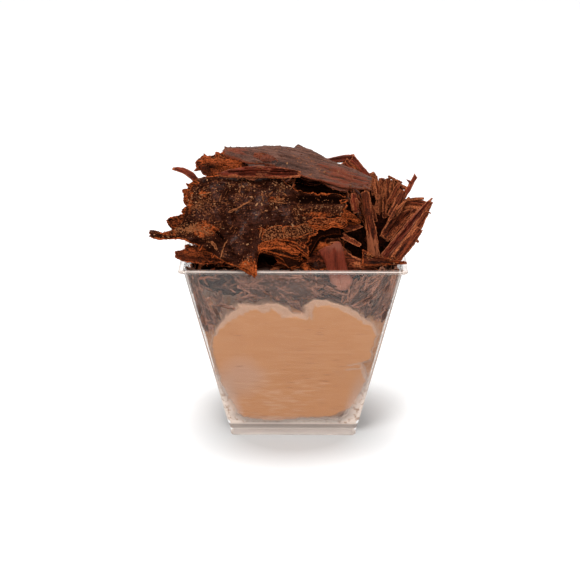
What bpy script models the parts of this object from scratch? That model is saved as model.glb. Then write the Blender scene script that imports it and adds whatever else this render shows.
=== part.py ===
# Chocolate mousse in a clear tapered square cup, heaped with large dark chocolate flakes.
# Units are metres in the scene. Flake sizes below are in millimetres, as MM converts them.
# The origin is the centre of the cup's base on the table, +Z up, and -Y is the front.

import math
import random

import bmesh
import bpy
from mathutils import Euler, Matrix, Vector, noise
from mathutils.bvhtree import BVHTree

MM = 0.001
GAP = 0.35 * MM            # clearance between pieces that touch

# Cup
CUP_HEIGHT = 61.0 * MM
RIM_HALF = 35.0 * MM       # half the width over the rim's lip
RIM_DROP = 0.9 * MM        # thickness of the lip
BODY_TOP_HALF = 33.5 * MM
BODY_LOW_HALF = 21.1 * MM
BODY_LOW = 4.4 * MM        # where the tapered body meets the foot
FOOT_TOP_HALF = 20.8 * MM
FOOT_HALF = 20.3 * MM
FOOT_WALL = 1.1 * MM
WALL = 1.0 * MM
FLOOR_TOP = 4.6 * MM
FLOOR_UNDER = 3.3 * MM
CORNER_RADIUS = 2.2 * MM
CORNER_STEPS = 4

# Mousse
MOUSSE_SIDE_TOP = 44.0 * MM    # height where the mousse leaves the walls
MOUSSE_TOP = 50.5 * MM
MOUSSE_SQUARENESS = 5.0        # power of the superellipse of its outline
MOUSSE_SPOKES = 40

# Bed of small shavings
BED_SQUARENESS = 9.0
BED_SPOKES = 48
BED_RINGS = 11
BED_RISE = 23.0 * MM           # how far the bed is heaped over the rim
BED_CLEARANCE = 1.4 * MM       # how far the bed stays under the flakes
BED_BUMP = 1.4 * MM

# Flakes: place of the centre in mm, turn in degrees about X, Y and Z, thickness, sideways bow
# and lengthwise sag in mm, tone, and the outline. The outline's rows run along the flake:
# distance from the centre, then the lower and the upper edge. The face looks along local +Z.
FLAKES = {
    "slab_front": (
        (0.0, -26.3, 73.9), (51.7, 0, 0), 1.2, 1.2, 0.6, "dark",
        ((-43.7, -5.0, -3.0), (-40.5, -5.6, -2.6), (-38.4, -5.9, -0.4), (-35.5, -6.0, 0.6),
         (-33.4, -6.0, 7.0), (-32.4, -6.2, 10.0), (-31.2, -6.4, 12.2),
         (-29.5, -6.8, 13.4), (-25.0, -9.4, 14.0), (-20.0, -12.4, 14.3), (-15.0, -13.8, 14.3),
         (-11.8, -16.4, 14.2), (-9.4, -9.6, 14.0), (-5.5, -8.8, 14.0), (-1.0, -9.2, 12.2),
         (3.6, -6.8, 9.8), (8.2, -3.2, 9.0), (13.0, -0.4, 8.7), (16.0, 2.0, 8.2)),
    ),
    "slab_top": (
        (2.3, -12.5, 87.0), (29, 11, -4), 1.2, 0.8, 0.6, "grey",
        ((-24.8, -0.9, 0.7), (-22.0, -1.8, 2.8), (-18.0, -2.3, 4.4), (-13.0, -1.8, 5.6),
         (-8.0, -1.8, 6.8), (-3.0, -2.0, 7.8), (2.0, -2.6, 8.2), (7.5, -3.2, 6.5),
         (13.0, -3.8, 5.6), (19.5, -3.0, 3.5), (24.5, -1.7, 1.7)),
    ),
    "slab_peak": (
        (4.2, -4.6, 88.2), (37, 13, 0), 1.0, 0.3, 0.0, "grey",
        ((-5.7, -0.4, 1.5), (-3.8, -1.4, 4.9), (0.8, -1.7, 3.8), (5.2, -1.3, 1.1)),
    ),
    "slab_left": (
        (-22.2, -10.9, 87.7), (49, 0, 0), 1.6, 0.6, 0.5, "light",
        ((-8.3, -1.0, 1.0), (-6.1, -3.4, 3.5), (-2.3, -4.5, 3.6), (3.3, -4.4, 2.4),
         (8.3, -3.6, 0.6)),
    ),
    "ridge_left": (
        (-10.7, -19.5, 87.5), (53, 0, 0), 1.3, 0.5, 0.4, "pink",
        ((-12.7, -0.4, 0.4), (-10.3, -1.3, 1.0), (-5.7, -1.3, 2.0), (0.5, -1.3, 2.4),
         (6.6, -1.5, 1.6), (12.7, -1.2, 0.4)),
    ),
    "horn": (
        (-33.3, -15.0, 85.9), (-68, -27, 180), 1.0, 0.0, 0.2, "pink",
        ((-4.3, -0.4, 1.2), (-1.5, -1.4, 0.0), (1.2, -1.3, -0.2), (4.5, -0.3, 0.4)),
    ),
    "bridge_bar": (
        (14.9, -4.7, 88.1), (66, -4, 0), 0.9, 0.0, 0.2, "pink",
        ((-5.0, -0.6, 0.5), (0.5, -0.7, 1.1), (3.9, -1.0, 1.1)),
    ),
    "bridge_leg_near": (
        (17.6, -7.4, 85.5), (59, 46, -20), 0.9, 0.0, 0.1, "light",
        ((-2.9, -0.9, 1.3), (-0.1, -0.9, 1.0), (3.0, -0.7, 0.7)),
    ),
    "bridge_leg_far": (
        (21.5, -6.6, 85.4), (61, 44, -18), 0.9, 0.0, 0.1, "pink",
        ((-3.1, -0.8, 0.9), (0.1, -0.6, 0.7), (3.2, -0.7, 0.7)),
    ),
    "stick_a": (
        (25.7, -19.4, 78.0), (-4, -72, 82), 1.0, 0.0, 0.2, "light",
        ((-3.2, -0.6, 0.6), (1.1, -0.7, 0.5), (3.2, -0.6, 0.6)),
    ),
    "stick_b": (
        (27.9, -15.8, 78.8), (-7, -75, 103), 1.0, 0.0, 0.2, "light",
        ((-6.1, -0.9, 0.6), (-0.2, -0.9, 0.6), (6.1, -0.6, 0.8)),
    ),
    "stick_c": (
        (29.8, -14.6, 79.2), (5, -74, 97), 1.0, 0.0, 0.2, "light",
        ((-5.6, -0.6, 0.6), (0.0, -0.8, 0.5), (5.6, -0.6, 0.8)),
    ),
    "stick_d": (
        (32.1, -17.7, 77.5), (53, -45, 46), 1.0, 0.0, 0.2, "light",
        ((-4.7, -1.0, 0.9), (0.7, -1.2, 1.2), (4.8, -0.9, 1.0)),
    ),
    "fan": (
        (32.2, -11.0, 80.9), (73, -35, 0), 1.0, 0.3, 0.0, "light",
        ((-3.0, -1.5, 1.6), (-0.3, -2.0, 3.0), (2.0, -1.4, 1.0)),
    ),
    "stick_upright": (
        (35.6, -13.6, 80.8), (67, -60, 22), 1.1, 0.0, 0.2, "pink",
        ((-5.0, -0.7, 1.0), (-0.1, -0.7, 1.0), (5.3, -0.7, 0.7)),
    ),
    "ledge": (
        (38.8, -11.6, 75.6), (45, 4, 0), 1.0, 0.3, 0.0, "light",
        ((-4.1, -1.4, 1.2), (0.0, -0.7, 1.9), (3.8, -1.2, 0.7)),
    ),
    "plank_a": (
        (35.2, -19.4, 70.4), (64, -45, 23), 1.0, 0.2, 0.4, "pink",
        ((-11.4, -1.3, 1.1), (-3.8, -1.5, 1.2), (4.8, -1.5, 1.6), (11.9, -0.5, 0.5)),
    ),
    "plank_b": (
        (35.6, -22.2, 68.4), (63, -46, 25), 1.0, 0.2, 0.4, "light",
        ((-9.4, -1.4, 1.4), (-0.8, -1.8, 1.3), (9.4, -0.8, 1.1)),
    ),
    "plank_c": (
        (35.3, -25.3, 66.9), (60, -44, 29), 1.0, 0.2, 0.2, "light",
        ((-6.2, -1.6, 1.5), (0.0, -1.7, 1.7), (6.3, -0.9, 1.1)),
    ),
    "plank_d": (
        (32.6, -16.6, 70.6), (51, -47, 36), 1.0, 0.3, 0.2, "dark",
        ((-6.4, -1.4, 1.6), (-0.2, -1.5, 2.0), (6.6, -1.4, 1.7)),
    ),
    "plank_e": (
        (35.2, -10.6, 71.2), (63, -34, 22), 1.0, 0.3, 0.2, "dark",
        ((-5.6, -2.7, 2.1), (-0.3, -2.6, 3.0), (6.1, -1.7, 1.6)),
    ),
    "curl_upright": (
        (23.3, -23.6, 72.2), (-29, -69, 114), 1.1, 0.7, 0.6, "grey",
        ((-10.6, -1.2, 1.8), (-4.7, -2.4, 1.3), (0.5, -2.4, 1.1), (5.9, -1.4, 1.6),
         (10.8, -1.5, 1.2)),
    ),
    "chip_high": (
        (19.1, -17.4, 77.6), (-11, -70, 108), 1.0, 0.0, 0.0, "pink",
        ((-3.1, -0.9, 0.9), (0.0, -0.9, 1.2), (3.1, -0.6, 0.9)),
    ),
    "chip_middle": (
        (18.9, -22.5, 72.4), (53, 0, 0), 1.1, 0.2, 0.0, "light",
        ((-3.0, -1.3, 1.3), (-0.5, -1.9, 1.6), (2.2, -1.0, 1.0)),
    ),
    "stick_middle": (
        (17.6, -26.2, 68.4), (67, 27, -4), 1.0, 0.0, 0.1, "light",
        ((-3.7, -0.8, 0.8), (0.0, -0.8, 0.8), (3.3, -0.7, 0.5)),
    ),
    "petal": (
        (12.0, -29.2, 61.6), (86, 0, 0), 1.1, 0.5, 0.3, "pink",
        ((-6.0, -3.4, 0.6), (-4.4, -7.6, 4.6), (-2.0, -8.0, 5.8), (0.9, -8.0, 7.9),
         (3.4, -8.0, 4.8), (5.0, -7.6, 0.8), (5.9, -5.6, -2.0)),
    ),
    "chip_low_right": (
        (27.5, -29.6, 63.4), (53, 3, -2), 1.1, 0.3, 0.3, "light",
        ((-6.2, -2.4, 2.5), (-4.6, -2.3, 2.2), (0.9, -1.6, 1.6), (7.3, -0.6, 0.6)),
    ),
    "chip_low_left": (
        (-28.6, -28.7, 63.4), (54, 6, -4), 1.3, 0.4, 0.3, "light",
        ((-7.9, -1.0, 1.0), (-4.6, -2.0, 2.0), (-0.1, -2.0, 1.9), (4.3, -1.4, 1.4),
         (7.7, -0.6, 0.6)),
    ),
    "chip_low_centre": (
        (-0.2, -30.4, 62.6), (53, 5, 0), 1.0, 0.3, 0.2, "light",
        ((-4.9, -0.6, 1.0), (-0.9, -1.6, 1.3), (4.4, -1.0, 1.0)),
    ),
    "layer_near": (
        (-3.0, -29.3, 66.0), (49, 3, 0), 0.8, 0.2, 0.2, "light",
        ((-6.4, -1.0, 1.4), (-1.4, -1.6, 2.2), (2.9, -1.8, 2.0), (6.2, -1.6, 1.0)),
    ),
    "layer_far": (
        (5.0, -25.2, 68.6), (49, -4, 0), 0.8, 0.2, 0.2, "light",
        ((-5.4, -2.6, 1.6), (-0.8, -3.2, 2.0), (5.4, -2.4, 2.4)),
    ),
    "slab_crown": (
        (0.0, 6.0, 82.0), (4, 8, 14), 1.2, 0.8, 0.8, "dark",
        ((-19.0, -1.5, 3.5), (-14.0, -5.5, 6.5), (-6.0, -6.5, 8.0), (4.0, -6.0, 7.0),
         (13.0, -6.5, 5.0), (19.0, -2.0, 1.5)),
    ),
    "slab_back": (
        (2.0, 26.4, 73.6), (51, -6, 176), 1.2, 1.2, 0.8, "dark",
        ((-31.0, -3.0, 1.0), (-26.0, -7.0, 3.0), (-18.0, -10.5, 8.5), (-9.0, -13.0, 8.2),
         (-4.0, -15.6, 10.0), (0.0, -12.0, 12.0), (9.0, -13.0, 12.0), (17.0, -8.5, 11.0),
         (24.0, -6.5, 5.0), (29.0, -4.0, -1.0)),
    ),
    "plank_back_a": (
        (-31.5, 19.5, 67.0), (56, -20, 208), 1.0, 0.2, 0.4, "light",
        ((-10.5, -0.9, 0.9), (-2.0, -1.4, 1.2), (10.5, -0.6, 0.6)),
    ),
    "plank_back_b": (
        (-27.9, 26.1, 66.8), (52, -18, 200), 1.0, 0.2, 0.3, "pink",
        ((-7.4, -1.0, 1.0), (0.0, -1.5, 1.4), (9.0, -0.7, 0.7)),
    ),
    "plank_back_c": (
        (31.5, 21.0, 65.6), (58, 14, 150), 1.0, 0.2, 0.3, "light",
        ((-9.0, -0.7, 0.8), (0.0, -1.5, 1.4), (9.0, -0.9, 0.8)),
    ),
    "chip_back_left": (
        (-12.6, 29.8, 64.2), (50, -6, 182), 1.1, 0.3, 0.3, "light",
        ((-9.0, -0.8, 1.0), (-2.0, -2.2, 2.0), (5.0, -1.8, 1.6), (8.0, -0.7, 0.8)),
    ),
    "chip_back_right": (
        (28.6, 30.2, 62.9), (52, 4, 178), 1.1, 0.3, 0.3, "pink",
        ((-8.0, -0.8, 0.8), (-1.0, -1.8, 2.0), (8.0, -0.8, 0.6)),
    ),
    "slab_side_left": (
        (-28.0, 4.0, 71.5), (50, 0, -84), 1.1, 0.8, 0.5, "light",
        ((-16.0, -2.0, 1.5), (-9.0, -7.0, 7.0), (0.0, -9.0, 8.5), (8.0, -6.5, 6.0),
         (14.0, -2.5, 0.5)),
    ),
    "slab_side_right": (
        (28.0, 5.5, 70.5), (52, 0, 84), 1.1, 0.8, 0.5, "dark",
        ((-11.0, -2.0, 1.0), (-7.0, -6.0, 6.0), (1.0, -8.5, 8.0), (9.0, -7.0, 5.0),
         (14.0, -2.0, 1.0)),
    ),
}

TONES = {
    "dark": (0.045, 0.014, 0.007),
    "grey": (0.110, 0.045, 0.028),
    "light": (0.130, 0.036, 0.014),
    "pink": (0.140, 0.048, 0.028),
}
RAGGED = 0.35 * MM             # unevenness of a flake's edges
RIB_STEP = 3.0 * MM            # spacing of the ribs that a flake is built from


def clear_scene():
    for obj in list(bpy.data.objects):
        bpy.data.objects.remove(obj, do_unlink=True)


def new_collection(name):
    collection = bpy.data.collections.new(name)
    bpy.context.scene.collection.children.link(collection)
    return collection


def new_material(name, color, roughness, alpha=1.0):
    material = bpy.data.materials.new(name)
    material.use_nodes = True
    shader = material.node_tree.nodes["Principled BSDF"]
    shader.inputs["Base Color"].default_value = (*color, 1.0)
    shader.inputs["Roughness"].default_value = roughness
    shader.inputs["Metallic"].default_value = 0.0
    shader.inputs["Alpha"].default_value = alpha
    material.diffuse_color = (*color, alpha)
    return material


def new_object(name, bm, collection, material):
    mesh = bpy.data.meshes.new(name)
    bm.to_mesh(mesh)
    bm.free()
    mesh.materials.append(material)
    obj = bpy.data.objects.new(name, mesh)
    collection.objects.link(obj)
    return obj


def round_off(obj, degrees):
    obj.data.shade_smooth()
    obj.data.set_sharp_from_angle(angle=math.radians(degrees))


def square_ring(half, radius, z):
    """Points of a square with round corners, at height z."""
    points = []
    for corner in range(4):
        middle = math.pi / 4 + corner * math.pi / 2
        centre = Vector((math.cos(middle), math.sin(middle), 0)) * math.sqrt(2) * (half - radius)
        for step in range(CORNER_STEPS + 1):
            angle = middle - math.pi / 4 + step * math.pi / 2 / CORNER_STEPS
            arc = Vector((math.cos(angle), math.sin(angle), 0)) * radius
            points.append(centre + arc + Vector((0, 0, z)))
    return points


def loft(bm, rings):
    """Skins a row of rings that have as many points each, and closes the first and the last."""
    spoke = bm.verts.layers.int.new("spoke")
    verts = [bm.verts.new(point) for point in rings[0]]
    for index, vert in enumerate(verts):
        vert[spoke] = index
    edges = [bm.edges.new(pair) for pair in zip(verts, verts[1:] + verts[:1])]
    ends = list(edges)
    for points in rings[1:]:
        grown = bmesh.ops.extrude_edge_only(bm, edges=edges)["geom"]
        verts = {part for part in grown if isinstance(part, bmesh.types.BMVert)}
        for vert in verts:
            vert.co = points[vert[spoke]]
        edges = [part for part in grown
                 if isinstance(part, bmesh.types.BMEdge) and verts.issuperset(part.verts)]
    for ring in (ends, edges):
        bmesh.ops.contextual_create(bm, geom=ring)
    bmesh.ops.triangulate(bm, faces=bm.faces[:])
    bmesh.ops.recalc_face_normals(bm, faces=bm.faces[:])
    if bm.calc_volume(signed=True) < 0:
        bmesh.ops.reverse_faces(bm, faces=bm.faces[:])


def inner_half(z):
    """Half the cup's inner width at height z."""
    share = (z - BODY_LOW) / (CUP_HEIGHT - RIM_DROP - BODY_LOW)
    return BODY_LOW_HALF + share * (BODY_TOP_HALF - BODY_LOW_HALF) - WALL


def make_cup(collection):
    """Thin shell: hollow foot, tapered wall, and a lip that stands out round the rim."""
    lip_under = CUP_HEIGHT - RIM_DROP
    sections = (
        (FOOT_TOP_HALF - FOOT_WALL, FLOOR_UNDER),
        (FOOT_HALF - FOOT_WALL, 0.0),
        (FOOT_HALF, 0.0),
        (FOOT_TOP_HALF, BODY_LOW - 0.5 * MM),
        (BODY_LOW_HALF, BODY_LOW),
        (BODY_TOP_HALF, lip_under),
        (RIM_HALF, lip_under),
        (RIM_HALF, CUP_HEIGHT),
        (inner_half(CUP_HEIGHT), CUP_HEIGHT),
        (inner_half(FLOOR_TOP), FLOOR_TOP),
    )
    bm = bmesh.new()
    loft(bm, [square_ring(half, CORNER_RADIUS, z) for half, z in sections])
    plastic = new_material("clear_plastic", (0.9, 0.9, 0.9), 0.05, alpha=0.25)
    cup = new_object("cup", bm, collection, plastic)
    round_off(cup, 30)
    return cup


def superellipse(angle, power):
    """Distance from the centre to the edge of a unit superellipse."""
    total = abs(math.cos(angle)) ** power + abs(math.sin(angle)) ** power
    return total ** (-1.0 / power)


def spoke_ring(spokes, power, half, height):
    """Points round a superellipse. height gives z from x and y."""
    points = []
    for spoke in range(spokes):
        angle = 2 * math.pi * spoke / spokes
        reach = superellipse(angle, power) * half
        x, y = math.cos(angle) * reach, math.sin(angle) * reach
        points.append((x, y, height(x, y)))
    return points


def lumps(x, y, size, seed):
    """Smooth unevenness between -1 and 1 with bumps of about the given size."""
    return noise.noise(Vector((x / size, y / size, seed)))


def mousse_top(x, y):
    """Height of the mousse's free surface over a point."""
    reach = max(abs(x), abs(y)) / inner_half(MOUSSE_SIDE_TOP)
    crown = (MOUSSE_TOP - MOUSSE_SIDE_TOP) * math.sqrt(max(0.0, 1 - min(reach, 1.0) ** 6))
    return MOUSSE_SIDE_TOP + crown + 1.2 * MM * lumps(x, y, 14 * MM, 3.1)


def make_mousse(collection):
    """Soft filling pressed against the walls, with rounded upright corners and a lumpy top."""
    bottom = FLOOR_TOP + GAP
    bm = bmesh.new()
    rings = []
    for share, inset in ((0.0, 2.2 * MM), (0.03, 0.8 * MM), (0.1, 0.0), (0.35, 0.0),
                         (0.6, 0.0), (0.82, 0.0), (0.97, 0.3 * MM)):
        z = bottom + share * (MOUSSE_SIDE_TOP - bottom)
        half = inner_half(z) - GAP - inset
        rings.append(spoke_ring(MOUSSE_SPOKES, MOUSSE_SQUARENESS, half, lambda x, y: z))
    top_half = inner_half(MOUSSE_SIDE_TOP) - GAP
    for reach in (0.97, 0.9, 0.78, 0.6, 0.38, 0.15):
        rings.append(spoke_ring(MOUSSE_SPOKES, MOUSSE_SQUARENESS, reach * top_half, mousse_top))
    loft(bm, rings)
    mousse = new_object("mousse", bm, collection, new_material("mousse", (0.51, 0.25, 0.13), 0.55))
    round_off(mousse, 60)
    return mousse


def ribs(outline, rng):
    """Rows of the outline with more rows between them, each edge a little uneven."""
    rows = []
    for (x0, low0, high0), (x1, low1, high1) in zip(outline, outline[1:]):
        steps = max(1, round((x1 - x0) * MM / RIB_STEP))
        for step in range(steps):
            t = step / steps
            rows.append((x0 + t * (x1 - x0), low0 + t * (low1 - low0), high0 + t * (high1 - high0)))
    rows.append(outline[-1])
    rough = []
    for x, low, high in rows:
        shift = min(RAGGED, 0.2 * (high - low) * MM)
        rough.append((x * MM, low * MM + rng.uniform(-shift, shift),
                      high * MM + rng.uniform(-shift, shift)))
    return rough


def make_flake(name, spec, collection, materials):
    """Thin, slightly curved plate with an uneven outline."""
    place, turn, thickness, bow, sag, tone, outline = spec
    rng = random.Random(name)
    rows = ribs(outline, rng)
    widest = max(high - low for _, low, high in rows)
    across = 2 if widest < 4 * MM else 4 if widest < 12 * MM else 6
    bm = bmesh.new()
    bmesh.ops.create_grid(bm, x_segments=len(rows) - 1, y_segments=across, size=0.5)
    length = rows[-1][0] - rows[0][0]
    for vert in bm.verts:
        x, low, high = rows[round((vert.co.x + 0.5) * (len(rows) - 1))]
        side = vert.co.y + 0.5
        along = (x - rows[0][0]) / length
        arch = bow * MM * 4 * side * (1 - side) * min(1.0, (high - low) / (0.6 * widest))
        curve = sag * MM * 4 * along * (1 - along)
        vert.co = (x, low + side * (high - low), arch + curve)
    obj = new_object(name, bm, collection, materials[tone])
    obj.location = Vector(place) * MM
    obj.rotation_euler = Euler([math.radians(angle) for angle in turn])
    solidify = obj.modifiers.new("Thickness", "SOLIDIFY")
    solidify.thickness = thickness * MM
    solidify.offset = 0.0
    round_off(obj, 40)
    return obj


def roof_over(flakes):
    """Tree of all the flakes' faces in world space, to look up from under them."""
    graph = bpy.context.evaluated_depsgraph_get()
    points, faces = [], []
    for flake in flakes:
        shape = flake.evaluated_get(graph)
        first = len(points)
        points += [shape.matrix_world @ vert.co for vert in shape.data.vertices]
        faces += [[first + index for index in face.vertices] for face in shape.data.polygons]
    return BVHTree.FromPolygons(points, faces)


def bed_top(x, y, roof):
    """Height of the heap of small shavings, kept under the flakes that lie on it."""
    half = inner_half(CUP_HEIGHT)
    reach = min(1.0, (abs(x / half) ** 3 + abs(y / half) ** 3) ** (1 / 3))
    height = CUP_HEIGHT + 1.0 * MM + BED_RISE * (1 - reach ** 1.8)
    height += BED_BUMP * lumps(x, y, 7 * MM, 8.4)
    for step in range(25):
        away = 2.4 * MM * math.ceil(step / 8)
        angle = step * math.pi / 4
        start = Vector((x + away * math.cos(angle), y + away * math.sin(angle), 0.052))
        hit = roof.ray_cast(start, Vector((0, 0, 1)))[0]
        if hit is not None:
            height = min(height, hit.z - BED_CLEARANCE)
    return max(height, 0.0535)


def make_bed(collection, cutters, flakes, material):
    """Small shavings from the mousse up to the flakes, as one lumpy solid."""
    roof = roof_over(flakes)
    bm = bmesh.new()
    rings = []

    def mousse_roof(x, y):
        return mousse_top(x, y) + 0.6 * MM

    low_half = inner_half(MOUSSE_SIDE_TOP) - GAP
    for reach in (0.15, 0.45, 0.7, 0.86):
        rings.append(spoke_ring(BED_SPOKES, MOUSSE_SQUARENESS, reach * low_half, mousse_roof))
    for z in (50.5 * MM, 53.0 * MM):
        half = inner_half(z) - GAP - 0.1 * MM
        rings.append(spoke_ring(BED_SPOKES, BED_SQUARENESS, half, lambda x, y: z))
    top_half = inner_half(53.5 * MM) - GAP - 0.1 * MM
    for ring in range(BED_RINGS):
        reach = 1 - (ring / BED_RINGS) ** 1.1
        rings.append(spoke_ring(BED_SPOKES, BED_SQUARENESS, reach * top_half,
                                lambda x, y: bed_top(x, y, roof)))
    loft(bm, rings)
    bed = new_object("shavings_bed", bm, collection, material)
    pocket = petal_pocket(cutters)
    cut = bed.modifiers.new("Petal pocket", "BOOLEAN")
    cut.operation = "DIFFERENCE"
    cut.solver = "EXACT"
    cut.object = pocket
    return bed


def petal_pocket(cutters):
    """Room between the bed and the front wall for the petal."""
    bm = bmesh.new()
    bmesh.ops.create_cube(bm, size=1.0)
    bmesh.ops.scale(bm, vec=Vector((14.5, 9.9, 24.0)) * MM, verts=bm.verts)
    bmesh.ops.translate(bm, vec=Vector((12.0, -32.6, 64.2)) * MM, verts=bm.verts)
    pocket = new_object("petal_pocket", bm, cutters, new_material("cutter", (1, 0, 0), 0.5))
    pocket.hide_render = True
    pocket.display_type = "WIRE"
    return pocket


def build():
    clear_scene()
    parts = new_collection("chocolate_mousse_cup")
    cutters = new_collection("cutters")
    chocolate = {}
    for tone, color in TONES.items():
        chocolate[tone] = new_material("chocolate_" + tone, color, 0.45)
    make_cup(parts)
    make_mousse(parts)
    flakes = [make_flake(name, spec, parts, chocolate) for name, spec in FLAKES.items()]
    bpy.context.view_layer.update()
    make_bed(parts, cutters, flakes, chocolate["dark"])
    holder = bpy.data.objects.new("heap", None)
    parts.objects.link(holder)
    for flake in flakes:
        flake.parent = holder


build()
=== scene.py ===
import math
import random

import bmesh
import bpy
from mathutils import Euler, Matrix, Vector, noise
from mathutils.bvhtree import BVHTree


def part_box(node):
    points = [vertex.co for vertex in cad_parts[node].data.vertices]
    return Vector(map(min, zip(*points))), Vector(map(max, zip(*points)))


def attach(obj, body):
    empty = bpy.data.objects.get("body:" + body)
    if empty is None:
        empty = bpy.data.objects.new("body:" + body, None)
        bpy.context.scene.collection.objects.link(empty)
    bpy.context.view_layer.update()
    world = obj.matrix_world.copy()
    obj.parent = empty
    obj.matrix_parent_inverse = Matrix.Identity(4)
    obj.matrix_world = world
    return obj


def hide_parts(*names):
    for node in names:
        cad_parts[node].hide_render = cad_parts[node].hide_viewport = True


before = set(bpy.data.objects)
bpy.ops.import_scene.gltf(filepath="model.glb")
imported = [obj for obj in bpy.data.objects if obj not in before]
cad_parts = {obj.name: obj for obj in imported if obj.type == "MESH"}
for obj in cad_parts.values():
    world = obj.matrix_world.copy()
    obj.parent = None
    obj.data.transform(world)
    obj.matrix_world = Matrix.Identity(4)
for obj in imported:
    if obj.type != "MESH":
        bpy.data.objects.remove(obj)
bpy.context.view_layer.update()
mm = 0.001
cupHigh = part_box("cup")[1]
print("frame loaded", len(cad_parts), "nodes")


def between(a, b, share):
    return a + (b - a) * share


def ease(low, high, value):
    share = min(1.0, max(0.0, (value - low) / (high - low)))
    return share * share * (3 - 2 * share)


def bumps(x, y, z=0.0):
    return noise.noise(Vector((x, y, z)))


def awayFrom(x, y, x0, y0, x1, y1):
    # distance to the nearest place on a line, and that place's share of it
    share = ((x - x0) * (x1 - x0) + (y - y0) * (y1 - y0)) / ((x1 - x0) ** 2 + (y1 - y0) ** 2)
    share = min(1.0, max(0.0, share))
    return math.hypot(x - between(x0, x1, share), y - between(y0, y1, share)), share


def crackle(x, seed):
    # uneven line with large, middling and fine steps, about -1 to 1
    return (0.75 * bumps(x / 3.1, seed) + 0.55 * bumps(x / 1.15, seed + 9.3)
            + 0.4 * bumps(x / 0.45, seed + 21.7))


class Wire:
    # a value on its way between nodes; arithmetic on it adds Math nodes
    def __init__(self, shades, socket):
        self.shades = shades
        self.socket = socket

    def maths(self, operation, first, second):
        return self.shades.node("Math", {"operation": operation}, {0: first, 1: second})

    def __add__(self, other):
        return self.maths("ADD", self, other)

    def __sub__(self, other):
        return self.maths("SUBTRACT", self, other)

    def __rsub__(self, other):
        return self.maths("SUBTRACT", other, self)

    def __mul__(self, other):
        return self.maths("MULTIPLY", self, other)

    __radd__ = __add__
    __rmul__ = __mul__

    def clamped(self, low, high):
        return self.shades.node("MapRange", {}, {"Value": self, "From Min": low, "From Max": high})


class Shades:
    # one material and its nodes
    def __init__(self, name, **sockets):
        self.material = bpy.data.materials.new(name)
        self.material.use_nodes = True
        self.nodes = self.material.node_tree.nodes
        self.links = self.material.node_tree.links
        self.surface = self.nodes["Principled BSDF"]
        for key, value in sockets.items():
            self.surface.inputs[key.replace("_", " ")].default_value = value

    def node(self, kind, settings, inputs, output=0):
        made = self.nodes.new("ShaderNode" + kind)
        for key, value in settings.items():
            setattr(made, key, value)
        for key, value in inputs.items():
            self.feed(made.inputs[key], value)
        return Wire(self, made.outputs[output])

    def feed(self, socket, value):
        if isinstance(value, Wire):
            self.links.new(value.socket, socket)
        elif hasattr(value, "__len__") and len(value) == 3 and socket.type == "RGBA":
            socket.default_value = (*value, 1.0)
        else:
            socket.default_value = value

    def into(self, **inputs):
        for key, value in inputs.items():
            self.feed(self.surface.inputs[key.replace("_", " ")], value)

    def place(self):
        return self.node("TexCoord", {}, {}, "Object")

    def split(self, vector):
        # its three parts
        x = self.node("SeparateXYZ", {}, {0: vector}, "X")
        return x, Wire(self, x.socket.node.outputs["Y"]), Wire(self, x.socket.node.outputs["Z"])

    def attribute(self, name, output="Fac"):
        return self.node("Attribute", {"attribute_name": name}, {}, output)

    def stretched(self, vector, scale):
        return self.node("Mapping", {}, {"Vector": vector, "Scale": scale})

    def cloud(self, vector, scale, detail=3.0, roughness=0.55):
        return self.node("TexNoise", {}, {"Vector": vector, "Scale": scale, "Detail": detail,
                                          "Roughness": roughness})

    def mixed(self, share, first, second, blend="MIX"):
        settings = {"data_type": "RGBA", "blend_type": blend}
        return self.node("Mix", settings, {0: share, 6: first, 7: second}, 2)

    def away(self, vector, middle):
        # distance from a fixed place
        return self.node("VectorMath", {"operation": "DISTANCE"}, {0: vector, 1: middle}, "Value")

    def bump(self, height, strength, distance):
        return self.node("Bump", {}, {"Height": height, "Strength": strength, "Distance": distance})


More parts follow.
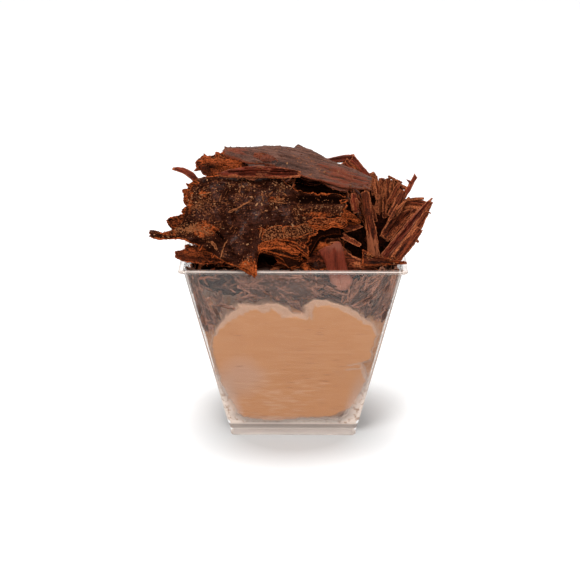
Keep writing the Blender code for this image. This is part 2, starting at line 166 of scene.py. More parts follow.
def clearPlastic(name):
    # bends light little, so that what stands in it shows right up to its edges; the coat gives it its shine
    shades = Shades(name, Base_Color=(0.93, 0.92, 0.91, 1), IOR=1.12, Transmission_Weight=1.0,
                    Coat_Weight=0.4, Coat_IOR=1.45)
    where = shades.place()
    haze = shades.cloud(where, 60.0, 2.0)
    ripple = shades.cloud(shades.stretched(where, (90, 90, 25)), 1.0, 1.0)
    shades.into(Roughness=haze * 0.03 + 0.012, Normal=shades.bump(ripple, 0.06, 0.0004))
    # thick rims and the foot get painted light caught in the plastic, and the whole wall a faint painted
    # haze;
    # the low corners, where the filling leaves the wall, get painted light over the shade of that gap
    flat = shades.node("VectorMath", {"operation": "ABSOLUTE"}, {0: where}, "Vector")
    across, out, height = shades.split(flat)
    # how far in from the corner, in mm, by the slope of the walls
    beside = (across.maths("MINIMUM", across, out) - height * 0.2226 - 0.0201) * -1000
    low = beside.clamped(6.5, 1.5) * height.clamped(0.026, 0.010) + height.clamped(0.0078, 0.0058) * 0.5
    low = low * height.clamped(0.0042, 0.0048) * haze.clamped(0.15, 0.5)
    paintedLight = shades.attribute("paintedLight") + low * 0.75 + haze * 0.03
    # painted shade darkens the tint, most in the foot's groove and in a line under the filling
    tint = shades.mixed(shades.attribute("dim"), (0.62, 0.52, 0.46), (0.16, 0.13, 0.115))
    specks = shades.cloud(where, 700.0, 2.0)
    # a cream, brown-specked painted light over the shade in the low corners
    tint = shades.mixed(low.clamped(0.2, 0.9), tint,
                        shades.mixed(specks.clamped(0.50, 0.66), (0.70, 0.58, 0.50), (0.36, 0.22, 0.15)))
    # on the corners, where the painted light passes 1, it turns white: painted glints
    tint = shades.mixed(shades.attribute("paintedLight").clamped(1.05, 1.3), tint, (0.95, 0.95, 0.95))
    lightPaint = shades.node("BsdfPrincipled", {}, {"Base Color": tint, "Roughness": 0.3})
    clear = Wire(shades, shades.surface.outputs[0])
    wall = shades.node("MixShader", {}, {0: paintedLight.clamped(0.0, 1.0), 1: clear, 2: lightPaint})
    # lamps reach what stands inside the cup, and light isn't trapped in its walls
    lamp = shades.node("LightPath", {}, {}, "Is Shadow Ray")
    depth = shades.node("LightPath", {}, {}, "Ray Depth")
    trapped = depth.maths("GREATER_THAN", depth, 6.5)
    through = shades.node("BsdfTransparent", {}, {"Color": (0.96, 0.96, 0.96, 1)})
    both = shades.node("MixShader", {}, {0: lamp.maths("MAXIMUM", lamp, trapped), 1: wall, 2: through})
    shades.links.new(both.socket, shades.nodes["Material Output"].inputs["Surface"])
    return shades.material


mousseTints = {"body": (0.316, 0.138, 0.054), "streak": (0.357, 0.171, 0.079), "rim": (0.303, 0.172, 0.109),
               "pale": (0.330, 0.177, 0.108), "fleck": (0.17, 0.065, 0.028), "low": (0.402, 0.184, 0.081),
               "stroke": (0.400, 0.225, 0.130)}


def mousseCream(name):
    shades = Shades(name, Specular_IOR_Level=0.2)
    where = shades.place()
    wipes = shades.cloud(shades.stretched(where, (130, 130, 1500)), 1.0, 3.0)
    patch = shades.cloud(where, 70.0, 2.0)
    color = shades.mixed(wipes.clamped(0.42, 0.66) * 0.6, mousseTints["body"], mousseTints["streak"])
    # hazy patch low on the left of the front, and lighter strokes below the middle
    haze = (shades.away(where, (-0.0155, -0.0245, 0.0225)) * -1 + 0.0105) * 160 + patch * 1.3 - 1.0
    height = shades.split(where)[2]
    color = shades.mixed(height.clamped(0.022, 0.008) * 0.6, color, mousseTints["low"])
    color = shades.mixed(haze.clamped(0.0, 0.9), color, mousseTints["pale"])
    low = shades.away(where, (-0.0050, -0.0220, 0.0140))
    slant = {"Vector": where, "Rotation": (0, 0.45, 0), "Scale": (180, 180, 1300)}
    stroke = shades.cloud(shades.node("Mapping", {}, slant), 1.0, 2.0) + (low * -1 + 0.012) * 14
    color = shades.mixed(stroke.clamped(0.57, 0.72) * 0.7, color, mousseTints["stroke"])
    dashes = shades.cloud(shades.stretched(where, (260, 260, 2600)), 1.0, 1.0)
    color = shades.mixed(dashes.clamped(0.68, 0.73) * 0.7, color, mousseTints["fleck"])
    ragged = shades.attribute("rim") + shades.cloud(where, 1100.0, 3.0) * 0.9 - 0.45
    color = shades.mixed(ragged.clamped(-0.10, 0.14), color, mousseTints["rim"])
    pits = shades.cloud(where, 1500.0, 2.0)
    shades.into(Base_Color=color, Roughness=patch * 0.2 + 0.4, Normal=shades.bump(pits, 0.1, 0.0001))
    return shades.material


def chocolate(name, face, dark, torn, fibre=0.5, speck=0.0, speckTint=(0.20, 0.060, 0.020), shine=0.08,
              dust=(0.19, 0.068, 0.028), coat=0.0, poreShade=0.62, grainy=True):
    # face and dark mix over the flat faces; torn is where it broke and, on each rim, a painted highlight;
    # dust lies on it in fine grains; fibre is how far it is streaked along, the pore shade how dark its pores
    # are painted as shade
    shades = Shades(name, Specular_IOR_Level=shine)
    where = shades.place()
    grain = shades.attribute("grain", "Vector")
    tone = shades.attribute("tone")
    edge = shades.attribute("edge")
    fibres = shades.cloud(shades.stretched(grain, (0.12, 1.7, 1.7)), 1.0, 5.0, 0.7)
    patches = shades.cloud(where, 230.0, 8.0, 0.72)
    grit = shades.cloud(where, 2100.0, 2.0, 0.6)
    blend = patches * (1 - fibre) + fibres * fibre
    color = shades.mixed(blend.clamped(0.40, 0.60), dark, face)
    broken = edge * 1.5 + grit * 0.9 + fibres * 0.6 - 1.15
    color = shades.mixed(broken.clamped(0.0, 0.55), color, torn)
    # its pores painted dark as their shade, and the rest lightened so that the mean stays
    hollows = (grit * 0.55 + fibres * 0.45).clamped(0.42, 0.56)
    deep = shades.mixed(poreShade, color, (0, 0, 0))
    crest = 1 + poreShade * 0.65
    color = shades.mixed(hollows, deep, shades.mixed(1.0, color, (crest, crest, crest), "MULTIPLY"))
    # towards black by tone: darker chocolate in parts, painted shade in fold valleys and under torn layers
    color = shades.mixed(tone.clamped(0.0, 1.0), color, (0.004, 0.001, 0.0005))
    dusting = (tone * -1).clamped(0.0, 1.0)
    if grainy:
        grains = grit if fibre < 0.5 else fibres
        dusting = (grains + dusting * 0.28 - 0.66).clamped(0.0, 0.06) * dusting.clamped(0.0, 0.15) * 0.9
    color = shades.mixed(dusting, color, dust)
    if speck:
        spots = shades.cloud(where, 1500.0, 2.0, 0.7) + shades.cloud(where, 260.0, 3.0) * 0.7
        spots = spots.clamped(1.16 - 0.20 * speck, 1.20 - 0.20 * speck) * tone.clamped(0.5, 0.0) * 0.85
        color = shades.mixed(spots, color, speckTint)
    if coat:
        bare = (1 - tone.maths("ABSOLUTE", tone, 0.0) * 2.2 - edge * 3.0).clamped(0.0, 1.0)
        shades.into(Coat_Weight=bare * patches.clamped(0.45, 0.60) * coat)
        shades.surface.inputs["Coat Roughness"].default_value = 0.3
    shades.into(Base_Color=color, Roughness=patches * 0.3 + 0.32,
                Normal=shades.bump(fibres + grit * 0.5, 0.8, 0.0005))
    return shades.material


# each finish, with its slot name and its material
finishes = {
    "crumbed": ("chocolate_dark", chocolate(
        "darkCrumbed", (0.036, 0.0085, 0.0037), (0.011, 0.0028, 0.0015), (0.310, 0.0620, 0.0155), fibre=0.15,
        speck=0.9, speckTint=(0.150, 0.048, 0.018), shine=0.004, dust=(0.212, 0.074, 0.029), coat=0.12)),
    # partly the bloom on the chocolate, partly a painted sheen of the bright room in its grey face
    "grey": ("chocolate_grey", chocolate(
        "greyBloomAndSheen", (0.116, 0.050, 0.034), (0.052, 0.016, 0.008), (0.130, 0.026, 0.009), fibre=0.6,
        speck=0.8, shine=0.13, dust=(0.135, 0.026, 0.010), poreShade=0.35)),
    "light": ("chocolate_light", chocolate(
        "brownBreak", (0.145, 0.029, 0.0105), (0.024, 0.0046, 0.0021), (0.290, 0.080, 0.030), fibre=0.8,
        shine=0.03, dust=(0.21, 0.062, 0.027))),
    "pink": ("chocolate_pink", chocolate(
        "rosyShard", (0.150, 0.024, 0.0100), (0.045, 0.0068, 0.0032), (0.260, 0.070, 0.027), fibre=0.8,
        shine=0.06, dust=(0.25, 0.088, 0.044), poreShade=0.4)),
    "petal": ("chocolate_pink", chocolate(
        "rosyPetal", (0.140, 0.022, 0.0095), (0.092, 0.0135, 0.0056), (0.200, 0.042, 0.018), fibre=0.8,
        shine=0.08, dust=(0.245, 0.094, 0.058), poreShade=0.15, grainy=False)),
    "dark": ("chocolate_dark", chocolate(
        "darkBreak", (0.048, 0.009, 0.004), (0.010, 0.0024, 0.0012), (0.140, 0.028, 0.009), fibre=0.6,
        shine=0.02)),
    "torn": ("chocolate_light", chocolate(
        "tornLayers", (0.110, 0.020, 0.006), (0.014, 0.0028, 0.0012), (0.255, 0.050, 0.013), fibre=0.45,
        shine=0.03, dust=(0.25, 0.078, 0.026))),
    "crumb": ("chocolate_light", chocolate(
        "crumbs", (0.125, 0.036, 0.013), (0.055, 0.0130, 0.0048), (0.210, 0.070, 0.026), fibre=0.3,
        shine=0.03, dust=(0.30, 0.145, 0.070), poreShade=0.4, grainy=False)),
    # dust and a painted haze of light reflected off the plastic, for what lies behind it
    "dustAndHaze": ("chocolate_grey", chocolate(
        "dustAndHazeFibres", (0.145, 0.059, 0.036), (0.044, 0.0145, 0.0085), (0.225, 0.095, 0.058), fibre=0.7,
        shine=0.0)),
    # near black: a painted deep shade for the core between the shavings
    "deepShade": ("chocolate_dark", chocolate(
        "coreDeepShade", (0.014, 0.0040, 0.0020), (0.004, 0.0012, 0.0006), (0.030, 0.007, 0.003), fibre=0.5,
        shine=0.0, dust=(0.072, 0.035, 0.025), grainy=False)),
    "plastic": ("clear_plastic", clearPlastic("clearPlastic")),
    "mousse": ("mousse", mousseCream("mousseCream")),
}


def meshOf(name, bm):
    mesh = bpy.data.meshes.new(name)
    bm.to_mesh(mesh)
    bm.free()
    return mesh


def finishPiece(name, bm, finish, angle, nodes=()):
    slotName, material = finishes[finish]
    mesh = meshOf(name, bm)
    mesh.materials.append(material)
    mesh.shade_smooth()
    mesh.set_sharp_from_angle(angle=math.radians(angle))
    piece = bpy.data.objects.new(name, mesh)
    bpy.context.scene.collection.objects.link(piece)
    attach(piece, "root")
    if nodes:
        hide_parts(*nodes)
    return piece


# the cup, in mm: half widths of the body's top, its low end and the foot, then heights and thicknesses
cupShape = {
    "bodyTop": 33.5, "bodyLow": 21.1, "foot": 20.3, "bodyBase": 4.4, "bodyTall": 55.7, "lip": 0.9,
    "floor": 4.6, "underside": 3.3, "wall": 0.55, "footWall": 1.1, "round": 0.18, "cornerSteps": 6,
}


def innerHalf(z):
    # half the cup's inner width, in mm, at a height in mm
    shape = cupShape
    share = (z - shape["bodyBase"]) / (cupHigh.z / mm - shape["lip"] - shape["bodyBase"])
    return shape["bodyLow"] + share * (shape["bodyTop"] - shape["bodyLow"]) - shape["wall"]


def squareLoop(half, corner, steps):
    loop = []
    for quarter in range(4):
        middle = math.pi / 4 + quarter * math.pi / 2
        reach = math.sqrt(2) * (half - corner)
        for step in range(steps + 1):
            angle = middle - math.pi / 4 + step * math.pi / 2 / steps
            loop.append((math.cos(middle) * reach + math.cos(angle) * corner,
                         math.sin(middle) * reach + math.sin(angle) * corner,
                         math.sin(math.pi * step / steps)))
    return loop


def makeCup(shape):
    top, half = cupHigh.z / mm, cupHigh.x / mm
    lip, soft = shape["lip"], shape["round"]
    foot, low, high = shape["foot"], shape["bodyLow"], shape["bodyTop"]
    inFoot, base, floor = foot - shape["footWall"], shape["bodyBase"], shape["floor"]
    # half width, height, corner radius, painted light in the plastic, the corners' own painted light and
    # glints, and painted shade, from the foot's hollow round the outside to the floor
    profile = [
        (inFoot + 0.4, shape["underside"], 1.0, 0.35, 0.0, 0.0),
        (inFoot + 0.05, soft, 1.0, 0.5, 0.0, 0.0),
        (inFoot + soft, 0.0, 1.1, 0.5, 0.0, 0.3),
        (foot - soft, 0.0, 1.3, 0.5, 0.0, 0.3),
        (foot, soft, 1.4, 0.42, 0.2, 0.0),
        (foot + 0.22, 2.05, 1.4, 0.45, 0.8, 0.0),
        (foot + 0.25, 2.35, 1.4, 0.55, 0.9, 0.0),
        (foot + 0.10, 2.62, 1.4, 0.6, 0.0, 0.5),
        (foot + 0.10, 3.02, 1.4, 0.6, 0.0, 0.6),
        (foot + 0.45, 3.30, 1.4, 0.4, 0.0, 0.2),
        (low - 0.15, base - 0.25, 1.4, 0.5, 0.2, 0.15),
        (low, base, 1.5, 0.85, 0.2, 0.0),
        (low + 0.09, base + 0.35, 1.5, 0.6, 0.8, 0.1),
        (low + 0.16, base + 0.65, 1.5, 0.65, 0.8, 0.9),
        (low + 0.24, base + 0.95, 1.5, 0.45, 1.0, 0.8),
        (low + 0.32, base + 1.3, 1.5, 0.05, 1.3, 0.0),
        (low + 0.45, base + 1.9, 1.5, 0.0, 0.5, 0.0),
        (low + 1.3, base + 5.8, 1.5, 0.0, 0.45, 0.0),
        (low + 2.9, base + 13.0, 1.5, 0.0, 0.35, 0.3),
        (high - 2.5, top - lip - 11.2, 1.5, 0.0, 0.35, 0.5),
        (high - 0.1, top - lip - 0.45, 1.6, 0.0, 0.8, 0.4),
        (high + 0.1, top - lip, 1.6, 0.05, 0.7, 0.4),
        (half - soft, top - lip, 1.7, 0.15, 0.7, 0.4),
        (half, top - lip + soft, 1.8, 0.10, 0.7, 0.3),
        (half, top - 0.35, 1.8, 0.15, 0.7, 0.2),
        (half - 0.04, top - 0.12, 1.8, 0.85, 0.0, 0.0),
        (half - 0.22, top, 1.8, 0.65, 0.0, 0.0),
        (half - 0.7, top, 1.6, 0.15, 0.2, 0.0),
        (innerHalf(top) + 0.2, top, 1.3, 0.15, 0.2, 0.0),
        (innerHalf(top), top - 0.2, 1.2, 0.05, 0.1, 0.0),
        (innerHalf(top - 2.0), top - 2.0, 1.1, 0.0, 0.0, 0.0),
        (innerHalf(floor + 1.2), floor + 1.2, 1.1, 0.0, 0.0, 0.0),
        (innerHalf(floor + 0.4) - 0.2, floor + 0.35, 1.0, 0.3, 0.0, 0.0),
        (innerHalf(floor) - 1.1, floor, 0.9, 0.3, 0.0, 0.0),
    ]
    bm = bmesh.new()
    order = bm.verts.layers.int.new("order")
    paintedLight = bm.verts.layers.float.new("paintedLight")
    dim = bm.verts.layers.float.new("dim")
    loops = [squareLoop(w, c, shape["cornerSteps"]) for w, z, c, *rest in profile]
    verts = bmesh.ops.create_circle(bm, segments=len(loops[0]), radius=1.0)["verts"]
    for index, vert in enumerate(verts):
        vert[order] = index
        vert[paintedLight] = profile[0][3]
        vert.co = (*loops[0][index][:2], profile[0][1])
    edges = bm.edges[:]
    ends = list(edges)
    for loop, (w, z, c, lightPaint, cornerGlint, dark) in zip(loops[1:], profile[1:]):
        grown = bmesh.ops.extrude_edge_only(bm, edges=edges)["geom"]
        fresh = {part for part in grown if isinstance(part, bmesh.types.BMVert)}
        for vert in fresh:
            across, out, corner = loop[vert[order]]
            vert.co = (across, out, z)
            vert[paintedLight] = lightPaint + corner * cornerGlint
            vert[dim] = dark
        edges = [part for part in grown
                 if isinstance(part, bmesh.types.BMEdge) and fresh.issuperset(part.verts)]
    for ring in (ends, edges):
        bmesh.ops.contextual_create(bm, geom=ring)
    bmesh.ops.scale(bm, vec=(mm, mm, mm), verts=bm.verts)
    bmesh.ops.recalc_face_normals(bm, faces=bm.faces)
    finishPiece("clearCup", bm, "plastic", 32, ["cup"])


makeCup(cupShape)
print("cup made")


# the mousse, in mm
mousseShape = {
    # where it lies against the front wall: across and up
    "outline": ((-23.7, 40), (-21.8, 42.6), (-18.9, 46.6), (-15.5, 48.7), (-11.2, 48.4), (-4.7, 49.1),
                (-1.3, 47), (-0.3, 45.6), (4.3, 44.8), (3.4, 47.7), (6.4, 50.2), (10.1, 50.6), (13.2, 49.2),
                (18.8, 46.7), (22.3, 43.5), (25.5, 41.3), (26.2, 37.3), (24.8, 32.5), (25.2, 30.3),
                (24, 27.9), (22, 26.9), (22.6, 25.4), (23.5, 20.9), (22.1, 14.7), (19.3, 10.5), (13.2, 6.1),
                (3.2, 5.7), (-7.5, 4.1), (-16.2, 6.2), (-19.6, 8.3), (-21.9, 14.6), (-24.6, 23.7),
                (-25.6, 31.2), (-25.4, 36)),
    # faint creases running in from the notch on the right
    "creases": ((24.2, 28.2, 17.1, 26.6), (22.6, 25.6, 16.6, 25.2)),
    "middle": 27.0, "top": 51.3, "floor": 4.55, "sunk": 0.15, "gap": 0.15,
    "smoothing": 0.2, "smoothAbove": 46,
    # the block it is carved from: cuts, half widths low and high, half height, and the shares of its reach
    # between which the surface is searched
    "cuts": 112, "low": 23, "high": 30, "tall": 25, "near": 0.3, "far": 1.3, "halvings": 15,
}


def fromOutline(x, z):
    # distance in mm outside the outline, negative inside it
    points = mousseShape["outline"]
    best, inside = 1e9, False
    for (x0, z0), (x1, z1) in zip(points, points[1:] + points[:1]):
        dx, dz = x1 - x0, z1 - z0
        share = ((x - x0) * dx + (z - z0) * dz) / (dx * dx + dz * dz)
        share = min(1.0, max(0.0, share))
        best = min(best, (x - x0 - share * dx) ** 2 + (z - z0 - share * dz) ** 2)
        if (z0 > z) != (z1 > z) and x < x0 + (z - z0) / dz * dx:
            inside = not inside
    return -math.sqrt(best) if inside else math.sqrt(best)


# distances from the outline, worked out once on a grid; its cell in mm
fieldCell = 0.75
fieldWide, fieldHigh = 90, 80
field = [[fromOutline(fieldCell * (i - fieldWide // 2), fieldCell * j) for i in range(fieldWide + 1)]
         for j in range(fieldHigh + 1)]


def touching(wall, x, z):
    # distance outside the mousse's outline on one of the four walls; the front one is wall 0
    if wall:
        x = (-1) ** wall * x * 0.89 + 1.2 * bumps(x / 9, z / 9, wall * 7.7)
        z = z + 2.6 * bumps(x / 8, z / 12, wall * 3.1 + 5)
    across = min(fieldWide - 0.001, max(0.0, x / fieldCell + fieldWide // 2))
    up = min(fieldHigh - 0.001, max(0.0, z / fieldCell))
    i, j = int(across), int(up)
    a, b = across - i, up - j
    lower = field[j][i] * (1 - a) + field[j][i + 1] * a
    upper = field[j + 1][i] * (1 - a) + field[j + 1][i + 1] * a
    return (lower * (1 - b) + upper * b + 0.42 * bumps(x / 1.9, z / 1.9, wall + 0.5)
            + 0.42 * bumps(x / 0.9, z / 0.9, wall + 7.5))


def wallPlace(wall, x, y):
    # the point turned so that its wall is the front one
    return ((x, y), (y, -x), (-x, -y), (-y, x))[wall]


def borderWidth(z, x=0.0):
    # pale edge of the mousse: broad on its two humps, thin in the notch between them and down the sides
    wide = between(2.0, 1.2, ease(4.0, 12.0, x)) * (1 - 0.85 * max(0.0, 1 - abs(x - 1.2) / 2.8))
    top = max(0.25, 1.0 + 0.9 * bumps(x / 2.6, 3.3) + 0.5 * bumps(x / 0.9, 7.1)) * wide * ease(36, 46, z)
    return 0.25 + top + 0.7 * ease(36, 24, z) * (1 + bumps(z / 3.0, 9.4))


def standoff(away, z, x):
    # how far from the wall the mousse lies, by how far outside its outline
    border = borderWidth(z, x)
    shape = mousseShape
    slope = between(1.6, 2.6, ease(20, 34, z))  # it leaves the wall more steeply higher up
    if away < -border:
        return -shape["sunk"]
    if away < 0:
        return between(-shape["sunk"], shape["gap"], ease(-border, -border * 0.5, away))
    return 99.0 if away > 5 else shape["gap"] + slope * away ** 0.55


def creased(x, z):
    # 1 on the middle of a crease, 0 away from it
    best = 9.0
    for crease in mousseShape["creases"]:
        away, share = awayFrom(x, z, *crease)
        best = min(best, away / (0.42 - 0.22 * share))
    return 1 - ease(0.5, 1.3, best)


def insideMousse(x, y, z):
    shape = mousseShape
    top = shape["top"] + 1.6 * bumps(x / 13, y / 13, 3.1) + 0.5 * bumps(x / 4, y / 4, 1.1)
    if z < shape["floor"] or z > top:
        return False
    half = innerHalf(z)
    for wall in range(4):
        across, out = wallPlace(wall, x, y)
        depth = half + out
        if depth > 5.0:
            continue
        if depth < -shape["sunk"] or depth < standoff(touching(wall, across, z), z, across):
            return False
    return True


def makeMousse(shape):
    bm = bmesh.new()
    rim = bm.verts.layers.float.new("rim")
    bmesh.ops.create_cube(bm, size=2.0)
    bmesh.ops.subdivide_edges(bm, edges=bm.edges, cuts=shape["cuts"], use_grid_fill=True)
    for vert in bm.verts:
        z = vert.co.z
        wide = between(shape["low"], shape["high"], (z + 1) / 2)
        way = Vector((vert.co.x * wide, vert.co.y * wide, z * shape["tall"]))
        near, far = shape["near"], shape["far"]
        for halving in range(shape["halvings"]):
            reach = (near + far) / 2
            spot = way * reach
            if insideMousse(spot.x, spot.y, spot.z + shape["middle"]):
                near = reach
            else:
                far = reach
        spot = way * near
        x, y, z = spot.x, spot.y, spot.z + shape["middle"]
        vert.co = (x, y, z)
        depths = []
        for wall in range(4):
            across, out = wallPlace(wall, x, y)
            beyond = touching(wall, across, z) + borderWidth(z, across)
            depths.append((innerHalf(z) + out, beyond, wall, across))
        deep, rimmed, wall, across = min(depths)
        if wall == 0:
            rimmed = max(rimmed, creased(across, z) - 0.25)
        vert[rim] = rimmed if deep < 1.2 else rimmed - deep
    bmesh.ops.smooth_vert(bm, verts=[v for v in bm.verts if v.co.z > shape["smoothAbove"]],
                          factor=shape["smoothing"], use_axis_x=True, use_axis_y=True, use_axis_z=True)
    bmesh.ops.scale(bm, vec=(mm, mm, mm), verts=bm.verts)
    bmesh.ops.recalc_face_normals(bm, faces=bm.faces)
    finishPiece("mousseFilling", bm, "mousse", 70, ["mousse"])


makeMousse(mousseShape)
print("mousse made")


# the flakes are uneven sheets of chocolate; this is how one looks where its own entry doesn't say, with sizes
# in mm, turns in degrees, and places across and up in the flake's own plane
sheetLook = {
    "finish": "light", "cell": 0.42, "thick": 0.9, "bow": 0.3, "sag": 0.2, "twist": 0.0,
    # its outline: straight or curved through its rows, how ragged, how splintered at its ends, a sharp rim
    "straight": True, "ragged": 0.3, "splinter": 0.7, "sharp": False,
    # whether its grain runs up it, and how many cells it has across, if not as many as fit
    "upright": False, "across": 0,
    # its faces: long ridges, wide lumps, small pits, a wavy rim, how far in it thins, and how wide its rim
    # band is,
    # where the torn colour of broken chocolate also gives a painted highlight on the lit rim
    "ridges": 0.22, "lumps": 0.25, "pits": 0.05, "flare": 0.0, "taper": 0.5, "edgeWidth": 0.6,
    # how crumbled and how dark it is all over, and how much painted shade its valleys get and painted light
    # its ridges
    "tornness": 0.0, "tone": 0.0, "foldShade": 1.0,
    # its CAD solid: thickness, and outline where that is another; or the node it stands by, how far in front
    "solid": 1.0, "middle": (), "by": "", "lift": 0.0,
    # crumbled patches and darker parts: place, reach across and up, and how much
    "patches": (), "shades": (),
    # folds: from, to, height and half width; bars are more sticks: from, to, width and lift
    "folds": (), "bars": (),
    # torn layers under its lower edge: from, to, how many, out from, out to, how deep
    "shelves": (),
    # torn layers by their outlines: lift, how torn, how dark, and each one's rows
    "strips": (),
    # spikes: place, the way they point, length and width; slivers lying on it: from, to and width
    "spurs": (), "slivers": (),
    # crumbs: how many, then patches of them: place, reach across and up; and how many all over
    "crumbs": (), "sparse": 0,
}


def rowAt(rows, x, straight=False):
    # lower and upper edge of an outline at x, smoothly or straight through its rows
    for index in range(len(rows) - 1):
        if x <= rows[index + 1][0] or index == len(rows) - 2:
            break
    first, second = rows[index], rows[index + 1]
    before, after = rows[max(0, index - 1)], rows[min(len(rows) - 1, index + 2)]
    width = max(1e-6, second[0] - first[0])
    t = min(1.0, max(0.0, (x - first[0]) / width))
    edges = []
    for k in (1, 2):
        slope = (second[k] - first[k]) / width
        left = (second[k] - before[k]) / max(1e-6, second[0] - before[0])
        right = (after[k] - first[k]) / max(1e-6, after[0] - first[0])
        left = max(min(left, 2 * abs(slope)), -2 * abs(slope))
        right = max(min(right, 2 * abs(slope)), -2 * abs(slope))
        t2, t3 = t * t, t * t * t
        smooth = ((2 * t3 - 3 * t2 + 1) * first[k] + (t3 - 2 * t2 + t) * width * left
                  + (3 * t2 - 2 * t3) * second[k] + (t3 - t2) * width * right)
        edges.append(between(first[k], second[k], t) if straight else smooth)
    return edges


def spotStrength(x, y, spot):
    # how much one of a flake's spots, a middle and a reach each way, tells at a place
    x0, y0, rx, ry = spot
    away = ((x - x0) / rx) ** 2 + ((y - y0) / ry) ** 2
    return math.exp(-away) if away < 6 else 0.0


def tornness(look, x, y, seed):
    most = look["tornness"]
    for *spot, strength in look["patches"]:
        near = spotStrength(x, y, spot)
        if near:
            most = max(most, strength * near * (1 + 0.9 * bumps(x / 1.3, y / 1.3, seed + 3)))
    return most


def shadeOf(look, x, y):
    tone = look["tone"]
    for *spot, amount in look["shades"]:
        tone += amount * spotStrength(x, y, spot)
    return tone


def foldHeight(look, x, y):
    height = 0.0
    for x0, y0, x1, y1, rise, wide in look["folds"]:
        away = awayFrom(x, y, x0, y0, x1, y1)[0] / wide
        if away < 2.5:
            height += rise * math.exp(-away * away)
    return height


def newSheets():
    bm = bmesh.new()
    bm.verts.layers.float.new("edge")
    bm.verts.layers.float.new("tone")
    bm.verts.layers.float_vector.new("grain")
    return bm


def layersOf(bm):
    # where each vertex keeps how broken and how dark it is, and its place in the grain
    layers = bm.verts.layers
    return layers.float["edge"], layers.float["tone"], layers.float_vector["grain"]


def addSheet(bm, rows, look, toWorld, seed):
    # closed, uneven sheet in a flake's own plane; sizes in mm
    x0, x1 = rows[0][0], rows[-1][0]
    length = x1 - x0
    widest = max(high - low for _, low, high in rows)
    along = max(3, round(length / look["cell"]))
    across = look["across"] or max(2, round(widest / look["cell"]))
    sheet = newSheets()
    bmesh.ops.create_grid(sheet, x_segments=along, y_segments=across, size=0.5)
    grown = bmesh.ops.extrude_face_region(sheet, geom=sheet.faces[:], use_keep_orig=True)["geom"]
    for part in grown:
        if isinstance(part, bmesh.types.BMVert):
            part.co.z = 1.0
    if not look["sharp"]:
        sides = [edge for edge in sheet.edges if abs(edge.verts[0].co.z - edge.verts[1].co.z) > 0.5]
        bmesh.ops.subdivide_edges(sheet, edges=sides, cuts=1)
    edgeLayer, toneLayer, grainLayer = layersOf(sheet)
    pits, ridges = look["pits"], look["ridges"]
    endPull = min(look["splinter"], length * 0.12)
    for vert in sheet.verts:
        t, s, side = vert.co.x + 0.5, vert.co.y + 0.5, vert.co.z
        # the outline, bitten along its sides and splintered at its ends
        x = x0 + t * length
        low, high = rowAt(rows, x, look["straight"])
        bite = min(look["ragged"], 0.22 * (high - low))
        low += bite * crackle(x, seed + 1)
        high += bite * crackle(x, seed + 40)
        width = high - low
        y = low + s * width
        pull = endPull * (crackle(y * 1.6, seed + 80) + 0.5 * bumps(y / 0.35, seed + 60))
        x += pull * (ease(0.14, 0, t) - ease(0.86, 1, t))
        reach = min(s * width, (1 - s) * width, t * length, (1 - t) * length)
        # its thickness, thinner towards the edge, and its relief, which differs on its two sides
        thin = ease(-0.05, look["taper"], reach)
        half = look["thick"] / 2 * (0.35 + 0.65 * thin) * (1 + 0.35 * bumps(x / 3, y / 3, seed))
        torn = tornness(look, x, y, seed)
        fold = foldHeight(look, x, y)
        curve = look["bow"] * 4 * s * (1 - s) + look["sag"] * 4 * t * (1 - t) + fold
        relief = look["lumps"] * bumps(x / 4.2, y / 4.2, seed + 5)
        relief += ridges * (bumps(x * 0.12, y * 1.3, seed + side * 3)
                            + 0.6 * bumps(x * 0.25, y * 3.1, seed + side * 5))
        relief += (pits + 0.45 * torn) * bumps(x / 0.8, y / 0.6, seed + side * 11)
        relief += (pits + 0.4 * torn) * bumps(x / 0.4, y / 0.33, seed + side * 13)
        relief += look["flare"] * (1 - thin) * bumps(x / 2.3, y / 2.3, seed + 17)
        z = curve + (side - 0.5) * 2 * half + relief * (0.5 + 0.5 * thin)
        if 0.2 < side < 0.8:  # broken rim stands out unevenly
            y += 0.16 * bumps(x * 1.3, y * 1.3, seed + 31) * (1 if s > 0.5 else -1)
        if look["twist"]:
            angle = math.radians(look["twist"]) * (t - 0.5)
            middle = (low + high) / 2
            y, z = (middle + (y - middle) * math.cos(angle) - z * math.sin(angle),
                    (y - middle) * math.sin(angle) + z * math.cos(angle))
        vert.co = toWorld @ Vector((x, y, z))
        # a band along the rim takes the torn colour: broken chocolate, and a painted highlight on the lit rim
        border = look["edgeWidth"] * max(0.15, 0.7 + 1.6 * bumps(x / 3.4, y / 3.4, seed + 9))
        vert[edgeLayer] = max(1 - ease(0, border, reach), torn)
        # valleys of the folds painted darker as shade, their ridges lighter as painted light
        vert[toneLayer] = shadeOf(look, x, y) + (0.9 * max(0.0, -fold) - 0.35 * max(0.0, fold)) * look["foldShade"]
        if look["upright"]:
            x, y = y, x
        vert[grainLayer] = (x + seed * 13.7, y + seed * 3.3, z)
    bmesh.ops.recalc_face_normals(sheet, faces=sheet.faces)
    carrier = meshOf("sheet", sheet)
    bm.from_mesh(carrier)
    bpy.data.meshes.remove(carrier)


